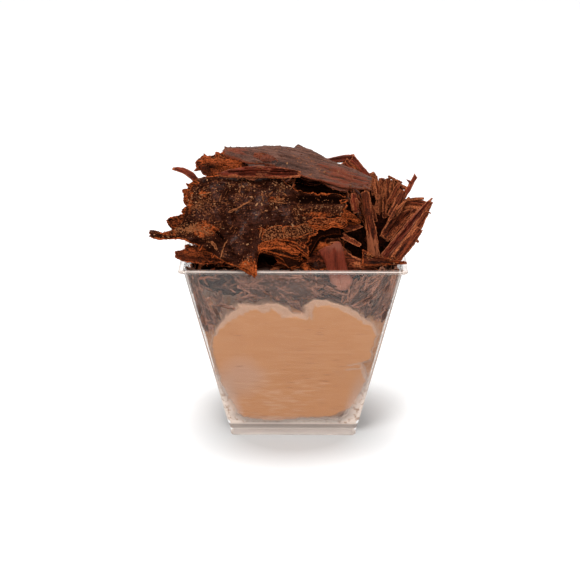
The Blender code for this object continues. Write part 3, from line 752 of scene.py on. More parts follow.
def standing(node, rows, look):
    # matrix from a flake's own plane to the frame: turned as told, its middle on its node's middle
    spin = Euler([math.radians(angle) for angle in look["turn"]]).to_matrix()
    half = look["solid"] / 2
    corners = []
    for x, low, high in rows:
        t = (x - rows[0][0]) / (rows[-1][0] - rows[0][0])
        for y, arch in ((low, 0.0), ((low + high) / 2, look["bow"]), (high, 0.0)):
            for side in (-half, half):
                corners.append(spin @ Vector((x, y, arch + look["sag"] * 4 * t * (1 - t) + side)))
    lowest = Vector([min(c[k] for c in corners) for k in range(3)])
    highest = Vector([max(c[k] for c in corners) for k in range(3)])
    boxLow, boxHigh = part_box(node)
    middle = (boxLow + boxHigh) / 2 - (lowest + highest) / 2 * mm
    return Matrix.Translation(middle) @ spin.to_4x4() @ Matrix.Scale(mm, 4)


# what the two slabs at the sides share, and the two torn layers; and the CAD outline of the petal, which the
# ledge behind it stands by
sideSlab = {"solid": 1.1, "cell": 0.45, "bow": 0.8, "sag": 0.5, "ragged": 0.8, "lumps": 0.4, "sparse": 80}
tornPair = {"finish": "torn", "solid": 0.8, "bow": 0.2, "ragged": 0.6, "flare": 0.5}
petalOutline = ((-6, -3.4, 0.6), (-5.2, -5.4, 2.6), (-4.4, -7.6, 4.8), (-3.4, -8, 4.9), (-2.2, -8, 5.9),
                (-1.2, -8, 5.8), (0.9, -8, 7.9), (1.8, -8, 6), (3.4, -8, 4), (5, -7.6, 0.8), (5.9, -5.6, -2))

flakes = {
    "slab_front": dict(turn=(51.7, 0, 0), finish="crumbed", straight=False, solid=1.2, thick=1, cell=0.3,
        bow=1.2, sag=0.6, ragged=0.45, lumps=0.6, ridges=0.08, pits=0.1, taper=0.9, edgeWidth=0.5,
        sparse=380,
        rows=((-43.7, -5, -3.1), (-42.5, -5.6, -3.1), (-40, -6.1, -3.7), (-37.6, -6.1, -3.2),
              (-35.4, -6, -2.2), (-34.1, -6.1, -0.9), (-33.2, -6.2, 1.6), (-32.5, -6.6, 5.6),
              (-31.8, -6.9, 9.4), (-30.9, -7.2, 12.2), (-29.6, -7.6, 13.8), (-26.4, -9.9, 14.6),
              (-23.4, -11.6, 14.7), (-21.8, -12.9, 14.6), (-19.7, -14.2, 14.6), (-16, -15.2, 14.4),
              (-13.5, -16.2, 14.3), (-12, -17.2, 14.2), (-11.2, -15.8, 14.2), (-10.6, -12.2, 14.2),
              (-9.8, -8.6, 14.2), (-8.6, -6, 14.2), (-6.6, -4.6, 14.1), (-4.1, -4.2, 14), (-1.1, -4.2, 11.6),
              (2, -3.8, 9.4), (4.6, -2.4, 9), (8.2, -1, 8.9), (11.3, -0.8, 8.8), (14, -0.6, 8.7),
              (16.2, 1.6, 8)),
        patches=((-27.5, 8.4, 2.4, 2.2, 0.45), (-27.2, -3.4, 4.2, 2.4, 0.75), (-5, 6.2, 2.6, 1.4, 0.5),
                 (-5.5, -3.6, 4.6, 1.5, 0.8), (8.2, 1.6, 6.1, 0.9, 0.5), (-31.6, 6.5, 1.3, 6, 0.5),
                 (-13.3, -14.8, 2.2, 2.2, 0.7), (-38.2, -4.4, 4.5, 1.4, 0.5), (2.6, -3, 3, 1.2, 0.8)),
        shades=((-20, -6, 8, 6, 0.35), (-9, 0.5, 5, 3, 0.3), (6, 6.6, 9, 1.6, 0.85), (-4, 12, 8, 1.4, 0.4),
                (-26, -9.8, 3.4, 1, 0.8), (-20.4, -13.6, 3.4, 1, 0.8), (-31, -7.3, 3.4, 0.7, 0.7),
                (-38, -6, 3, 0.5, 0.5), (-28, 3, 5, 7, -0.2), (-30, -3, 3.4, 1.3, -0.8),
                (-25.6, -4.6, 2.4, 1.2, -0.7), (-34, -3.8, 3.6, 1.5, -0.6)),
        folds=((3, 6.9, 15.9, 6.5, -1.6, 1.3), (0.8, 3.2, 17.5, 3.8, 0.9, 1.1), (-20, -12, -13, 1, 0.9, 3),
               (-24, 3, -10, 9, 0.5, 3), (-24.1, -3.4, -21.3, -6.3, -1.2, 0.35),
               (-1, 12.6, 2.2, 9.3, 1, 0.5), (2.2, 9.3, 16, 8.4, 1.1, 0.5), (-9, 2, 0, 2, 0.5, 2.4)),
        strips=((-1.6, 0.3, 0.85, (-10.2, -9.5, -7), (-6, -10.2, -4), (0, -11.6, -3), (5, -10.6, -1.5),
                 (9, -4.6, 0), (15, -3.6, 1.5)),
                (0.3, 0.6, 0, (-10.9, -10.3, -8.2), (-9.4, -9.6, -7.3), (-7.6, -9.3, -7), (-5.2, -9, -6.9),
                 (-2.8, -9.6, -7.5), (-0.6, -10.6, -8.6), (1.9, -10.7, -9.9)),
                (-0.8, 0.15, 0.35, (-8.6, -9.4, -8.2), (-5.2, -10.2, -8.4), (-2.8, -11.1, -9.3),
                 (-0.3, -11.8, -10.3), (2.3, -12.1, -10.6)),
                (-1.8, 0.15, 0.5, (-5.4, -10.7, -9.8), (-2.8, -12.1, -10.1), (-0.9, -14.6, -10.4),
                 (1.1, -14.2, -10.8), (2.3, -12.1, -10.6)),
                (0, 0.3, 0.2, (-2.6, -7.4, -6.4), (0, -8.5, -6.7), (1.8, -9.8, -7.3), (3.6, -11.1, -8.3),
                 (4.4, -11.6, -9.6)),
                (0.7, 0.4, 0.1, (-2.2, -6.7, -5.5), (0.3, -7.3, -5.7), (2.1, -8.1, -6.1), (3.4, -8.9, -6.7),
                 (4.1, -9.4, -8)),
                (0.8, 0.35, -0.5, (-9.6, -6.9, -4.7), (-7.7, -7.3, -3), (-5.2, -6.5, -2.2), (-2.8, -6.6, -2),
                 (-0.6, -5.9, -3.1)),
                (1.1, 0.35, -0.5, (-2.4, -5.9, -2.5), (0.3, -6.3, -2.2), (2.7, -6, -1.9), (4.8, -4.8, -1.5),
                 (6.6, -4.2, -3)),
                (0.2, 0.3, 0.3, (-1, -7.2, -5), (1.6, -8.2, -4.6), (3.6, -8, -4), (5.2, -6.6, -3.6)),
                (1.1, 0.45, -0.3, (4.3, -2.6, -0.7), (6.9, -2.2, 0.6), (9.4, -2.5, 0.8), (11.8, -1.4, 0.3),
                 (14.3, -1.7, 0.6), (16.4, -0.8, 0)),
                (0.4, 0.6, 0.35, (9.2, 2.1, 4), (11.2, 1.9, 4.2), (13.7, 1.3, 4.2), (15.5, 0.6, 3.5),
                 (17.9, -0.3, 2.2), (19.7, -0.5, 0.5)),
                (-3.5, 0.9, 0.1, (3.6, -8.1, -5.5), (5.8, -7.9, -5.2), (7.6, -7.7, -5.4), (9.4, -7.5, -6.2),
                 (11.5, -7.2, -6.5)),
                (-7, 0.2, 0.1, (2.6, -10.2, -7.2), (5.2, -12.9, -6.9), (7.6, -13.5, -7.5),
                 (10.1, -13.5, -8.2), (13, -13.5, -8.8)),
                (-4, 0.8, 0, (1.6, -11.8, -10.7), (2.7, -12.8, -11.4), (3.6, -14.1, -12.4),
                 (5.1, -15.2, -14)),
                (0.4, 0.75, 0.1, (-16.4, -14.8, -12.9), (-14.2, -15.9, -11.9), (-12.7, -16.9, -11.6),
                 (-11.1, -17.9, -12.6)),
                (0.1, 0.4, 0, (-38.1, -0.7, 0.7), (-37, -1.8, 1.2), (-35.2, -2.3, 1.3), (-33.3, -2.9, 2.2),
                 (-30.9, -3.3, 2.5)),
                (0.1, 0.5, 0.1, (-34.1, 9.3, 10.3), (-32.7, 8, 10.4), (-31.1, 6.4, 10.2)),
                (0.1, 0.5, 0, (-34.3, 6.5, 7.7), (-33, 5, 8.1), (-31.1, 3.4, 8.1)),
                (0.1, 0.5, 0.1, (-33.6, 3.1, 4.2), (-32.4, 2.4, 4.9), (-31, 1.8, 5)),
                (0.1, 0.5, 0.1, (-32.6, 11.2, 12), (-31.4, 10.4, 13), (-29.6, 9.6, 13.6))),
        spurs=((-32, 11.4, 140, 1.3, 1), (-28, -8.6, 250, 1.2, 1.2), (-24, -11.2, 240, 1.1, 1),
               (15.6, 6.5, 20, 1.4, 1.3), (-11.8, -15.6, 262, 2.2, 1.5)),
        slivers=((-19.6, 1.9, -16.6, 3.4, 1.2), (-17.4, 2.9, -12.6, 6, 0.7), (-24.7, -7.3, -22.8, -9.9, 1.6),
                 (-21.8, -12.5, -20.9, -9, 0.6), (-21.1, -9.6, -19.7, -7, 0.6),
                 (-16.7, 7.8, -15.7, 11.8, 0.5), (-22.5, 5.5, -21.9, 8.1, 0.5),
                 (-20.7, 7.8, -20.1, 9.5, 0.3), (-6.8, 5.5, -2.6, 6.5, 1.2), (-26.8, 8.1, -25, 8.8, 0.8),
                 (-9.5, -2.7, -10.1, -6, 0.6), (-29.7, -1.8, -24.1, -5.7, 0.5), (-9.6, 8.2, -9, 5.5, 0.5),
                 (-30.2, -3.2, -26, -4.6, 0.6), (-7.6, 7.6, -6.2, 8.9, 0.7), (-3.2, 8.6, -1.8, 7.4, 0.6),
                 (-5.6, 5.2, -1.8, 4.9, 0.6)),
        crumbs=(700, (-27.5, 8.4, 3.4, 3), (-27.2, -3.4, 4.2, 2.6), (-5, 6.2, 3, 1.9), (-8.7, 7.2, 1.2, 1.7),
                (-5, -3.6, 5, 1.6), (2, -3.2, 4, 1.4), (-3.5, 11, 5.4, 2.4), (8.2, 3.4, 6, 0.9),
                (-31, 6, 2, 6.4), (-13.3, -14, 2.4, 2.4), (-17, 11, 5.6, 2.4))),
    "slab_top": dict(turn=(29, 11, -4), finish="grey", straight=False, solid=1.2, thick=1, cell=0.35,
        bow=0.8, sag=0.6, ragged=0.4, lumps=0.3, ridges=0.3, edgeWidth=0.5, sparse=60,
        rows=((-24.8, -0.9, 0.7), (-24, -1.6, 2.2), (-22.6, -1.8, 3), (-19.1, -2.2, 4), (-16.6, -2.6, 4.8),
              (-13.4, -1.9, 5.8), (-9.5, -2, 7.2), (-4.8, -2.6, 8), (-1.7, -3.1, 8.2), (2.2, -3.5, 8.2),
              (6.7, -3.8, 6.5), (10.1, -4.2, 5.4), (15.1, -4.4, 4.4), (19.4, -3.4, 3.5), (22.4, -2.6, 2.4),
              (24.5, -1.7, 1.7)),
        patches=((-21, 0.5, 3, 2, 0.45),),
        shades=((14, -1, 9, 4, -1.2), (16, -3.6, 8, 0.5, 0.5), (-20, 0.8, 6, 2.2, -0.9),
                (-6, -1, 12, 0.6, 0.3), (18, 2, 6, 1, 0.25)),
        folds=((-8, 4, 12, 1, 0.5, 1.5), (-18, 0.6, 20, -2.4, -0.6, 0.4), (-6, 6.4, 18, 2.6, -0.5, 0.3),
               (2, 1.4, 20, -1, -0.5, 0.3), (-14, 2.4, 4, 1.8, -0.35, 0.25)),
        shelves=(-22, 21, 8, -0.6, 0.6, 1.8),
        spurs=((-23.6, 1.6, 150, 1.6, 1.2), (23, 1, 10, 2.2, 1), (21, -2.6, 340, 2.6, 0.9)),
        crumbs=(55, (7.7, -0.2, 6, 2.2), (13.8, 1.6, 5, 1.6), (14.2, -1.4, 5, 1.6), (-2.6, 6, 3, 2))),
    "slab_peak": dict(turn=(37, 13, 0), finish="grey", sag=0, ridges=0.2,
        rows=((-5.7, -0.4, 1.5), (-3.8, -1.4, 4.9), (0.8, -1.7, 3.8), (5.2, -1.3, 1.1))),
    "slab_left": dict(turn=(49, 0, 0), finish="torn", straight=False, solid=1.6, thick=1.5, cell=0.3,
        bow=0.6, sag=0.5, ragged=0.9, lumps=0.9, ridges=0.2, pits=0.2, flare=0.8, splinter=0.3,
        tornness=0.15, sparse=40,
        rows=((-8.3, -0.6, 1.2), (-7, -1.6, 2.6), (-5.6, -3.4, 3.9), (-3.8, -4.4, 3.4), (-1.6, -4.5, 3.7),
              (1.4, -4.4, 2.8), (4.6, -4, 2.3), (8.3, -3.6, 0.6)),
        middle=((-8.3, -1, 1), (-6.1, -3.4, 3.5), (-2.3, -4.5, 3.6), (3.3, -4.4, 2.4), (8.3, -3.6, 0.6)),
        patches=((-6, 1.6, 2.4, 1.8, 0.9), (1, 2, 3, 1.4, 0.8), (5, 0.6, 2.4, 1.2, 0.7)),
        # its first shade is a painted shade in a hollow low in the slab
        shades=((-3.6, -1.8, 2.8, 1.3, 0.75), (5, -2.8, 3, 1, 0.4), (0, 1.6, 6, 2, -0.5)),
        shelves=(-7.5, 7.5, 9, -5, -0.2, 0.4),
        spurs=((-7.6, -1.4, 200, 1.2, 1.2),),
        crumbs=(70, (-3, 0, 4, 3), (3, -1, 4, 2.4))),
    "ridge_left": dict(turn=(53, 0, 0), finish="pink", solid=1.3, thick=1.3, cell=0.28, bow=0.5, sag=0.4,
        ridges=0.6,
        rows=((-12.7, -0.4, 0.1), (-10.3, -1.1, 0.8), (-5.7, -1.3, 2), (0.5, -1.3, 2.4), (6.6, -1.5, 1.9),
              (12.7, -1.3, 0.9)),
        folds=((-9, 0.1, 12, 0.4, -0.9, 0.22), (-4, 1.2, 10, 1.1, -0.7, 0.18),
               (-6, -0.6, 12, -0.4, -0.7, 0.16), (-7, 0.6, 11, 0.8, 0.5, 0.2), (-6, -0.2, 11, 0, 0.4, 0.15)),
        shelves=(-8, 5, 3, 0, 0.6, 1.2)),
    "horn": dict(turn=(-68, -27, 180), finish="pink", straight=False, thick=1.3, cell=0.25, bow=0,
        ragged=0.15, lumps=0.1, ridges=0.12, splinter=0.1,
        rows=((-4.6, -0.3, 1.5), (-1.5, -1.7, 0.5), (1.2, -1.8, 0.1), (3.4, -1.1, 0.3), (4.8, -0.3, 0.4)),
        middle=((-4.3, -0.4, 1.2), (-1.5, -1.4, 0), (1.2, -1.3, -0.2), (4.5, -0.3, 0.4))),
    "bridge_bar": dict(turn=(66, -4, 0), finish="pink", solid=0.9, thick=1.5, bow=0,
        rows=((-5.4, -0.7, 0.6), (0.5, -1, 1.2), (4.2, -1.2, 1.4)),
        middle=((-5, -0.6, 0.5), (0.5, -0.7, 1.1), (3.9, -1, 1.1)),
        folds=((-4, 0, 4, 0, -0.5, 0.3),)),
    "bridge_leg_near": dict(turn=(59, 46, -20), solid=0.9, thick=1.3, bow=0, sag=0.1,
        rows=((-3.4, -1.3, 1.7), (-0.1, -1.3, 1.4), (3.8, -1, 1)),
        middle=((-2.9, -0.9, 1.3), (-0.1, -0.9, 1), (3, -0.7, 0.7))),
    "bridge_leg_far": dict(turn=(61, 44, -18), finish="pink", solid=0.9, thick=1.3, bow=0, sag=0.1,
        rows=((-4.8, -1.3, 1.4), (0.1, -1.2, 1), (4.2, -0.9, 0.9)),
        middle=((-3.1, -0.8, 0.9), (0.1, -0.6, 0.7), (3.2, -0.7, 0.7))),
    "stick_a": dict(turn=(-4, -72, 82), bow=0, tone=0.3,
        rows=((-3.2, -0.6, 0.6), (1.1, -0.7, 0.5), (3.2, -0.6, 0.6)),
        bars=((-0.7, 1.8, -5.6, 0.3, 1.6, -0.5), (7.9, 1.4, 1.1, 0.1, 1.1, 0.9))),
    "stick_b": dict(turn=(-7, -75, 103), bow=0, tone=0.3,
        rows=((-6.1, -0.9, 0.6), (-0.2, -0.9, 0.6), (6.1, -0.6, 0.8)),
        bars=((7.6, 2.6, 0.9, 3.6, 1.2, 0.6), (6.3, 0.7, -5.1, 2, 1.3, 0.3), (5.6, -0.4, -4.3, 0.5, 0.9, 0),
              (-2, 2.5, -4.4, 4.2, 0.8, 0.8), (-4.4, 4.2, -7, 2.4, 0.8, 0.8), (8.2, 3.4, 6.4, 2.6, 1.7, 0.4),
              (6.9, 2.1, -0.5, 2.1, 1.3, 0.9))),
    "stick_c": dict(turn=(5, -74, 97), bow=0, tone=0.3,
        rows=((-5.6, -0.6, 0.6), (0, -0.8, 0.5), (5.6, -0.6, 0.8)),
        bars=((5.5, 0.7, -3.8, 0.6, 1.2, 0.5), (5.2, -1.6, -2.9, -0.1, 1.2, 0.2),
              (3.6, -0.5, -5.6, 1.4, 0.8, 0.8))),
    "stick_d": dict(turn=(53, -45, 46), bow=0, tone=0.3,
        rows=((-4.7, -1, 0.9), (0.7, -1.2, 1.2), (4.8, -0.9, 1)),
        bars=((-0.4, -0.3, -6.8, -0.3, 0.9, 0.8), (1.4, -1.7, -3.4, -1.8, 0.9, 0.4),
              (3.8, -2.2, -2.3, -0.4, 0.8, 1.2), (-1.5, 2.3, 6.4, 2.4, 1.6, -0.6),
              (-0.6, 1.5, 4.9, 0.8, 1.6, -0.8))),
    "fan": dict(turn=(73, -35, 0), sag=0, tone=0.3,
        rows=((-3, -1.5, 1.6), (-0.3, -2, 3), (2, -1.4, 1)),
        bars=((0.6, 2.7, 2.3, 0.1, 0.8, 0.8), (0.2, 1.5, 2.1, -1.2, 0.8, 0.9),
              (-0.7, 0.7, 0.5, -2, 0.8, 0.8), (-0.2, 4.4, 1, 2.1, 0.8, 0.8), (1.6, -0.2, 2.6, -3, 1.2, 0.3),
              (0.2, -1.4, 1.4, -4, 1.2, 0.3), (-0.3, 2.2, -1.5, -3, 1.3, -0.6),
              (1.1, 2, 0.6, -2.1, 1.3, -0.8))),
    "stick_upright": dict(turn=(67, -60, 22), finish="pink", solid=1.1, bow=0,
        rows=((-16, -0.5, 0.9), (-8.5, -0.2, 1.4), (-0.6, -0.7, 0.9), (5.3, -0.6, 0.7)),
        middle=((-5, -0.7, 1), (-0.1, -0.7, 1), (5.3, -0.7, 0.7)),
        spurs=((2.4, 0.6, 80, 1.4, 0.9),)),
    "ledge": dict(turn=(45, 4, 0), sag=0,
        rows=((-4.1, -1.4, 1.2), (0, -0.7, 1.9), (3.8, -1.2, 0.7)),
        bars=((-6.4, 0.4, -3.6, -3.2, 1.6, -0.4), (-6.8, -2.5, -4.6, 0.4, 1.4, -0.3),
              (-4, -1.9, 2.4, -2, 1.5, 0.2), (-4.6, -3, 0, -3.6, 1.5, 0), (-4.2, 0.6, 2, 1.8, 0.9, 0.8))),
    "plank_a": dict(turn=(64, -45, 23), finish="pink", bow=0.2, sag=0.4, tone=-0.45, foldShade=1.6,
        rows=((-12.3, -1.6, 0.7), (-8.3, -2.1, 0.8), (-3, -1.8, 1), (2, -1.6, 1.2), (7.2, -1, 1),
              (11.9, -0.3, 0.2)),
        middle=((-11.4, -1.3, 1.1), (-3.8, -1.5, 1.2), (4.8, -1.5, 1.6), (11.9, -0.5, 0.5)),
        folds=((-11, -0.6, 10, 0.1, -0.7, 0.22),)),
    "plank_b": dict(turn=(63, -46, 25), bow=0.2, sag=0.4, tone=-0.45, foldShade=1.6,
        rows=((-8.7, -2, 0.4), (-5.2, -3, 0.5), (-0.9, -3, 0.8), (3.6, -1.9, 0.8), (8.9, -0.5, 1.4),
              (12.6, 0.8, 1.3)),
        middle=((-9.4, -1.4, 1.4), (-0.8, -1.8, 1.3), (9.4, -0.8, 1.1)),
        folds=((-8, -1, 8, -0.2, -0.7, 0.25),),
        bars=((9.7, -0.9, 9.2, 1.1, 0.6, 0.9), (0.2, -3.4, 0.6, -1.1, 0.9, 0.9))),
    "plank_c": dict(turn=(60, -44, 29), bow=0.2,
        rows=((-6.2, -1.6, 1.5), (0, -1.7, 1.7), (6.3, -0.9, 1.1))),
    "plank_d": dict(turn=(51, -47, 36), tone=-0.45, foldShade=1.6,
        rows=((-6.4, 0.2, 2.6), (-4.7, 0.2, 3), (-0.9, -0.4, 2.9), (2.8, -1, 1.8), (5.5, -1.7, 0.2),
              (7.2, -2.9, -2.2)),
        middle=((-6.4, -1.4, 1.6), (-0.2, -1.5, 2), (6.6, -1.4, 1.7)),
        folds=((-5, 1.6, 5, -0.6, -0.6, 0.3),),
        bars=((-6, -1.2, 5, -2.2, 1.3, 0.2), (-6.4, 0, 3, -1, 1.1, -0.2))),
    "plank_e": dict(turn=(63, -34, 22), tone=-0.45, foldShade=1.6,
        rows=((-10.1, -3.7, -1.4), (-5.7, -3.3, -0.1), (-0.8, -2.3, 0.8), (3.5, -1.5, 1.3),
              (6.8, -0.4, 0.9)),
        middle=((-5.6, -2.7, 2.1), (-0.3, -2.6, 3), (6.1, -1.7, 1.6)),
        folds=((-8, -2.2, 5, 0.2, -0.7, 0.3),),
        bars=((-6, 1.2, 4, 2.4, 1.2, -0.3), (-5, -4.4, 2, -2.6, 1.2, -0.2),
              (-4.7, 1.7, 2.4, 3.5, 1.3, -0.6))),
    "curl_upright": dict(turn=(-29, -69, 114), solid=1.1, bow=0.7, sag=0.6, ridges=0.12,
        rows=((-11.4, -1.2, 1.4), (-9.6, -1.9, 1.7), (-6.1, -2.1, 1.4), (-2, -1.9, 1.2), (2.4, -1.6, 1.1),
              (6.4, -1.6, 1.3), (10.6, -1.5, 1.1)),
        middle=((-10.6, -1.2, 1.8), (-4.7, -2.4, 1.3), (0.5, -2.4, 1.1), (5.9, -1.4, 1.6),
                (10.8, -1.5, 1.2)),
        patches=((-8, 1, 4, 0.9, 0.9),),
        shades=((6, 0, 6, 3, 0.45), (-7, 0.2, 4.6, 2.4, -1.5)),
        bars=((-10, 0, -12.4, 0, 2.4, 1),)),
    "chip_high": dict(turn=(-11, -70, 108), finish="pink", bow=0, sag=0,
        rows=((-3.1, -0.9, 0.9), (0, -0.9, 1.2), (3.1, -0.6, 0.9)),
        bars=((1.4, 1.2, -2.4, 1, 0.9, 0.6), (1.5, -0.4, -1.9, -0.7, 1, 0.4))),
    "chip_middle": dict(turn=(53, 0, 0), solid=1.1, bow=0.2, sag=0,
        rows=((-4.2, -1.8, -0.2), (-2.7, -3, -0.5), (-0.9, -2.5, -0.3), (1, -1.8, -0.3), (2.4, -1.3, -1)),
        middle=((-3, -1.3, 1.3), (-0.5, -1.9, 1.6), (2.2, -1, 1)),
        bars=((-2.6, 0.4, 1, 1, 1.2, 0.2), (-1, 1.4, 1.4, -0.2, 0.9, 0.6))),
    "stick_middle": dict(turn=(67, 27, -4), bow=0, sag=0.1,
        rows=((-3.7, -0.8, 0.8), (0, -0.8, 0.8), (3.3, -0.7, 0.5))),
    "petal": dict(turn=(86, 0, 0), finish="petal", upright=True, solid=1.1, cell=0.3, bow=0.5, sag=0.3,
        ragged=0.25, lumps=0.15, ridges=0.05, edgeWidth=0.3, splinter=0.2,
        rows=((-4.3, 3.9, 4.6), (-3.5, 2.7, 4.9), (-2.6, 1.4, 5.4), (-1.7, -1.1, 5.7), (-0.8, -5.2, 5.8),
              (0.2, -6.5, 6.6), (1.1, -7.8, 7.4), (2, -8.1, 7.4), (2.6, -8.2, 6.8), (3.2, -8.2, 4.9),
              (4, -8.2, 1.8), (4.6, -8.1, -1.1), (5.5, -7.1, -3.6), (6.2, -5.5, -4.6)),
        middle=petalOutline,
        shades=((3, -6.6, 6, 2.8, -1.6), (1, 6, 3, 1.6, -0.4)),
        folds=((0.4, 5, 2.4, -6, -0.4, 0.4),)),
    "behind_petal": dict(by="petal", lift=-1.7, turn=(86, 0, 0), straight=False, solid=1.1, thick=1,
        cell=0.3, bow=0.5, sag=0.3, ragged=0.5, lumps=0.7, pits=0.15, tornness=0.1, sparse=20,
        rows=((-10.2, 0.2, 2.1), (-9.6, -3, 5), (-9, -3.3, 5.6), (-7.5, -3.3, 6.1), (-5.6, -3.3, 6.1),
              (-3.8, -3.3, 5.9), (-1.3, -3.3, 6.2), (1.1, -3.3, 6.6), (3, -3.3, 5.3), (4.5, -3.2, 3.4),
              (6.4, -3.2, 2.3), (8.6, -3.2, 1.4), (11, -3.2, -0.2), (12.9, -3.2, -1.6), (14.1, -3.2, -2.6)),
        middle=petalOutline,
        patches=((-6.6, 5.2, 2.4, 0.9, 0.9), (9, 0, 4, 1, 0.9), (0, 5.6, 4, 0.6, 0.6)),
        shades=((-7, 2.4, 3, 1, 0.35), (6, -1.6, 5, 1.2, 0.4), (-8.6, -2.6, 3, 1.2, 0.6),
                (-5.6, 0, 1.6, 1.8, -0.3)),
        folds=((-9, 1.2, -3, 3.6, 0.7, 0.5), (-9, -1.4, -3, -0.6, -0.7, 0.4), (5, 1, 12, -2.2, 0.6, 0.5)),
        crumbs=(60, (-6.6, 5, 2.4, 0.8), (9, -0.4, 4, 0.9))),
    # a flake behind the sticks, darkened as a stand-in for the shade in the gaps between them
    "behind_sticks": dict(by="stick_c", lift=-4, turn=(75, 0, 0), finish="dark", straight=False, bow=0,
        sag=0, ragged=0.5, lumps=0.5, pits=0.1, tone=0.35,
        rows=((-7, -14, -1.4), (-6, -15.9, 1.1), (-4.5, -17.1, 2.3), (-2.7, -17.1, 1.7), (-0.8, -16.5, 1.1),
              (1.1, -15.8, 0.5), (3, -14, -0.5), (4.2, -10.8, -2.6), (5.2, -8.3, -5.2)),
        middle=((-1, -1, 1), (1, -1, 1)),
        shades=((-2, 0.5, 4, 1.5, -0.4),)),
    "chip_low_right": dict(turn=(53, 3, -2), finish="torn", straight=False, solid=1.1, cell=0.3, bow=0.4,
        sag=0.3, ragged=0.35, tornness=0.1, sparse=10,
        rows=((-6.4, -2.4, 2.7), (-4.6, -2.3, 2.1), (-1.5, -2, 0.9), (3, -1.6, 0.1), (7.3, -1, -0.3)),
        middle=((-6.2, -2.4, 2.5), (-4.6, -2.3, 2.2), (0.9, -1.6, 1.6), (7.3, -0.6, 0.6)),
        patches=((4.5, -0.4, 3, 0.8, 0.8), (-4.6, 1.2, 1.4, 0.9, 0.5)),
        shades=((-1, -1.8, 5, 0.8, 0.45), (4.5, -0.4, 3, 0.8, -0.9), (-4.2, 0.8, 2, 1.2, -0.7)),
        folds=((-5.5, 0.6, 3, -1, -0.5, 0.25),),
        bars=((2, -0.6, 6.6, -1, 0.8, 0.8),),
        crumbs=(90, (4, -0.4, 3, 0.8))),
    "chip_low_left": dict(turn=(54, 6, -4), finish="torn", solid=1.3, cell=0.33, bow=0.4, sag=0.3,
        ragged=0.6, lumps=0.6, pits=0.2, tornness=0.2, sparse=20,
        rows=((-7.9, -1, 1), (-4.6, -2, 2), (-0.1, -2, 1.9), (4.3, -1.4, 1.4), (7.7, -0.6, 0.6)),
        shades=((1, -0.6, 5, 1, 0.6), (-5, -1, 2, 1, 0.4)),
        shelves=(-7, 7, 8, -2.8, 0.4, 0.6),
        crumbs=(40, (-2, 0, 4, 1.6))),
    "chip_low_centre": dict(turn=(53, 5, 0), finish="torn", ragged=0.5,
        rows=((-4.9, -0.6, 1), (-0.9, -1.6, 1.3), (4.4, -1, 1)),
        shelves=(-4.4, 4, 5, -1.6, 0.5, 0.7)),
    "layer_near": dict(tornPair, turn=(49, 3, 0),
        rows=((-6.4, -1, 1.4), (-1.4, -1.6, 2.2), (2.9, -1.8, 2), (6.2, -1.6, 1)),
        shelves=(-6, 6, 7, -1.6, 0.6, 0.9)),
    "layer_far": dict(tornPair, turn=(49, -4, 0),
        rows=((-5.4, -2.6, 1.6), (-0.8, -3.2, 2), (5.4, -2.4, 2.4)),
        shelves=(-5, 5, 7, -2.6, 0.6, 0.9)),
    "slab_crown": dict(turn=(4, 8, 14), finish="grey", straight=False, solid=1.2, cell=0.5, bow=0.8, sag=0.8,
        ragged=0.5, ridges=0.3, tone=0.35, sparse=60,
        rows=((-19, -1.5, 3.5), (-14, -5.5, 6.5), (-6, -6.5, 8), (4, -6, 7), (13, -6.5, 5), (19, -2, 1.5)),
        shelves=(-15, 15, 8, -1, 1, 1.6),
        crumbs=(90, (-4, 0, 8, 4), (6, 2, 6, 3))),
    "slab_back": dict(turn=(51, -6, 176), finish="crumbed", straight=False, solid=1.2, cell=0.45, bow=1.2,
        sag=0.8, ragged=0.6, lumps=0.5, pits=0.08, sparse=260,
        rows=((-31, -3, 1), (-26, -7, 3), (-18, -10.5, 8.5), (-9, -13, 8.2), (-4, -15.6, 10), (0, -12, 12),
              (9, -13, 12), (17, -8.5, 11), (24, -6.5, 5), (29, -4, -1)),
        patches=((-14, 2, 6, 3, 0.6), (8, -4, 7, 4, 0.7), (2, 8, 8, 3, 0.5)),
        shelves=(-24, 20, 22, -3, 2, 2.6),
        crumbs=(220, (-14, 2, 6, 3), (8, -4, 7, 4), (2, 8, 8, 3))),
    "plank_back_a": dict(turn=(56, -20, 208), bow=0.2, sag=0.4,
        rows=((-10.5, -0.9, 0.9), (-2, -1.4, 1.2), (4, -0.8, 0.8)),
        middle=((-10.5, -0.9, 0.9), (-2, -1.4, 1.2), (10.5, -0.6, 0.6))),
    "plank_back_b": dict(turn=(52, -18, 200), finish="pink", bow=0.2, sag=0.3,
        rows=((-7.4, -1, 1), (0, -1.5, 1.4), (9, -0.7, 0.7))),
    "plank_back_c": dict(turn=(58, 14, 150), bow=0.2, sag=0.3,
        rows=((-9, -0.7, 0.8), (0, -1.5, 1.4), (9, -0.9, 0.8))),
    "chip_back_left": dict(turn=(50, -6, 182), finish="torn", solid=1.1, sag=0.3, ragged=0.5,
        rows=((-9, -0.8, 1), (-2, -2.2, 2), (5, -1.8, 1.6), (8, -0.7, 0.8)),
        shelves=(-8, 7, 7, -2, 0.5, 0.7)),
    "chip_back_right": dict(turn=(52, 4, 178), finish="pink", solid=1.1, sag=0.3, ragged=0.5,
        rows=((-8, -0.8, 0.8), (-1, -1.8, 2), (8, -0.8, 0.6)),
        shelves=(-7, 7, 6, -1.6, 0.5, 0.7)),
    "slab_side_left": dict(sideSlab, turn=(50, 0, -84),
        rows=((-16, -2, 1.5), (-14.2, -5.6, 2.2), (-11, -5.9, 6.4), (-7.6, -8.2, 6.6), (-3, -7.6, 8.9),
              (0.6, -9.4, 7.4), (4, -6.6, 8.3), (8, -7.2, 5.2), (11.4, -3.8, 4.6), (14, -2.5, 0.5)),
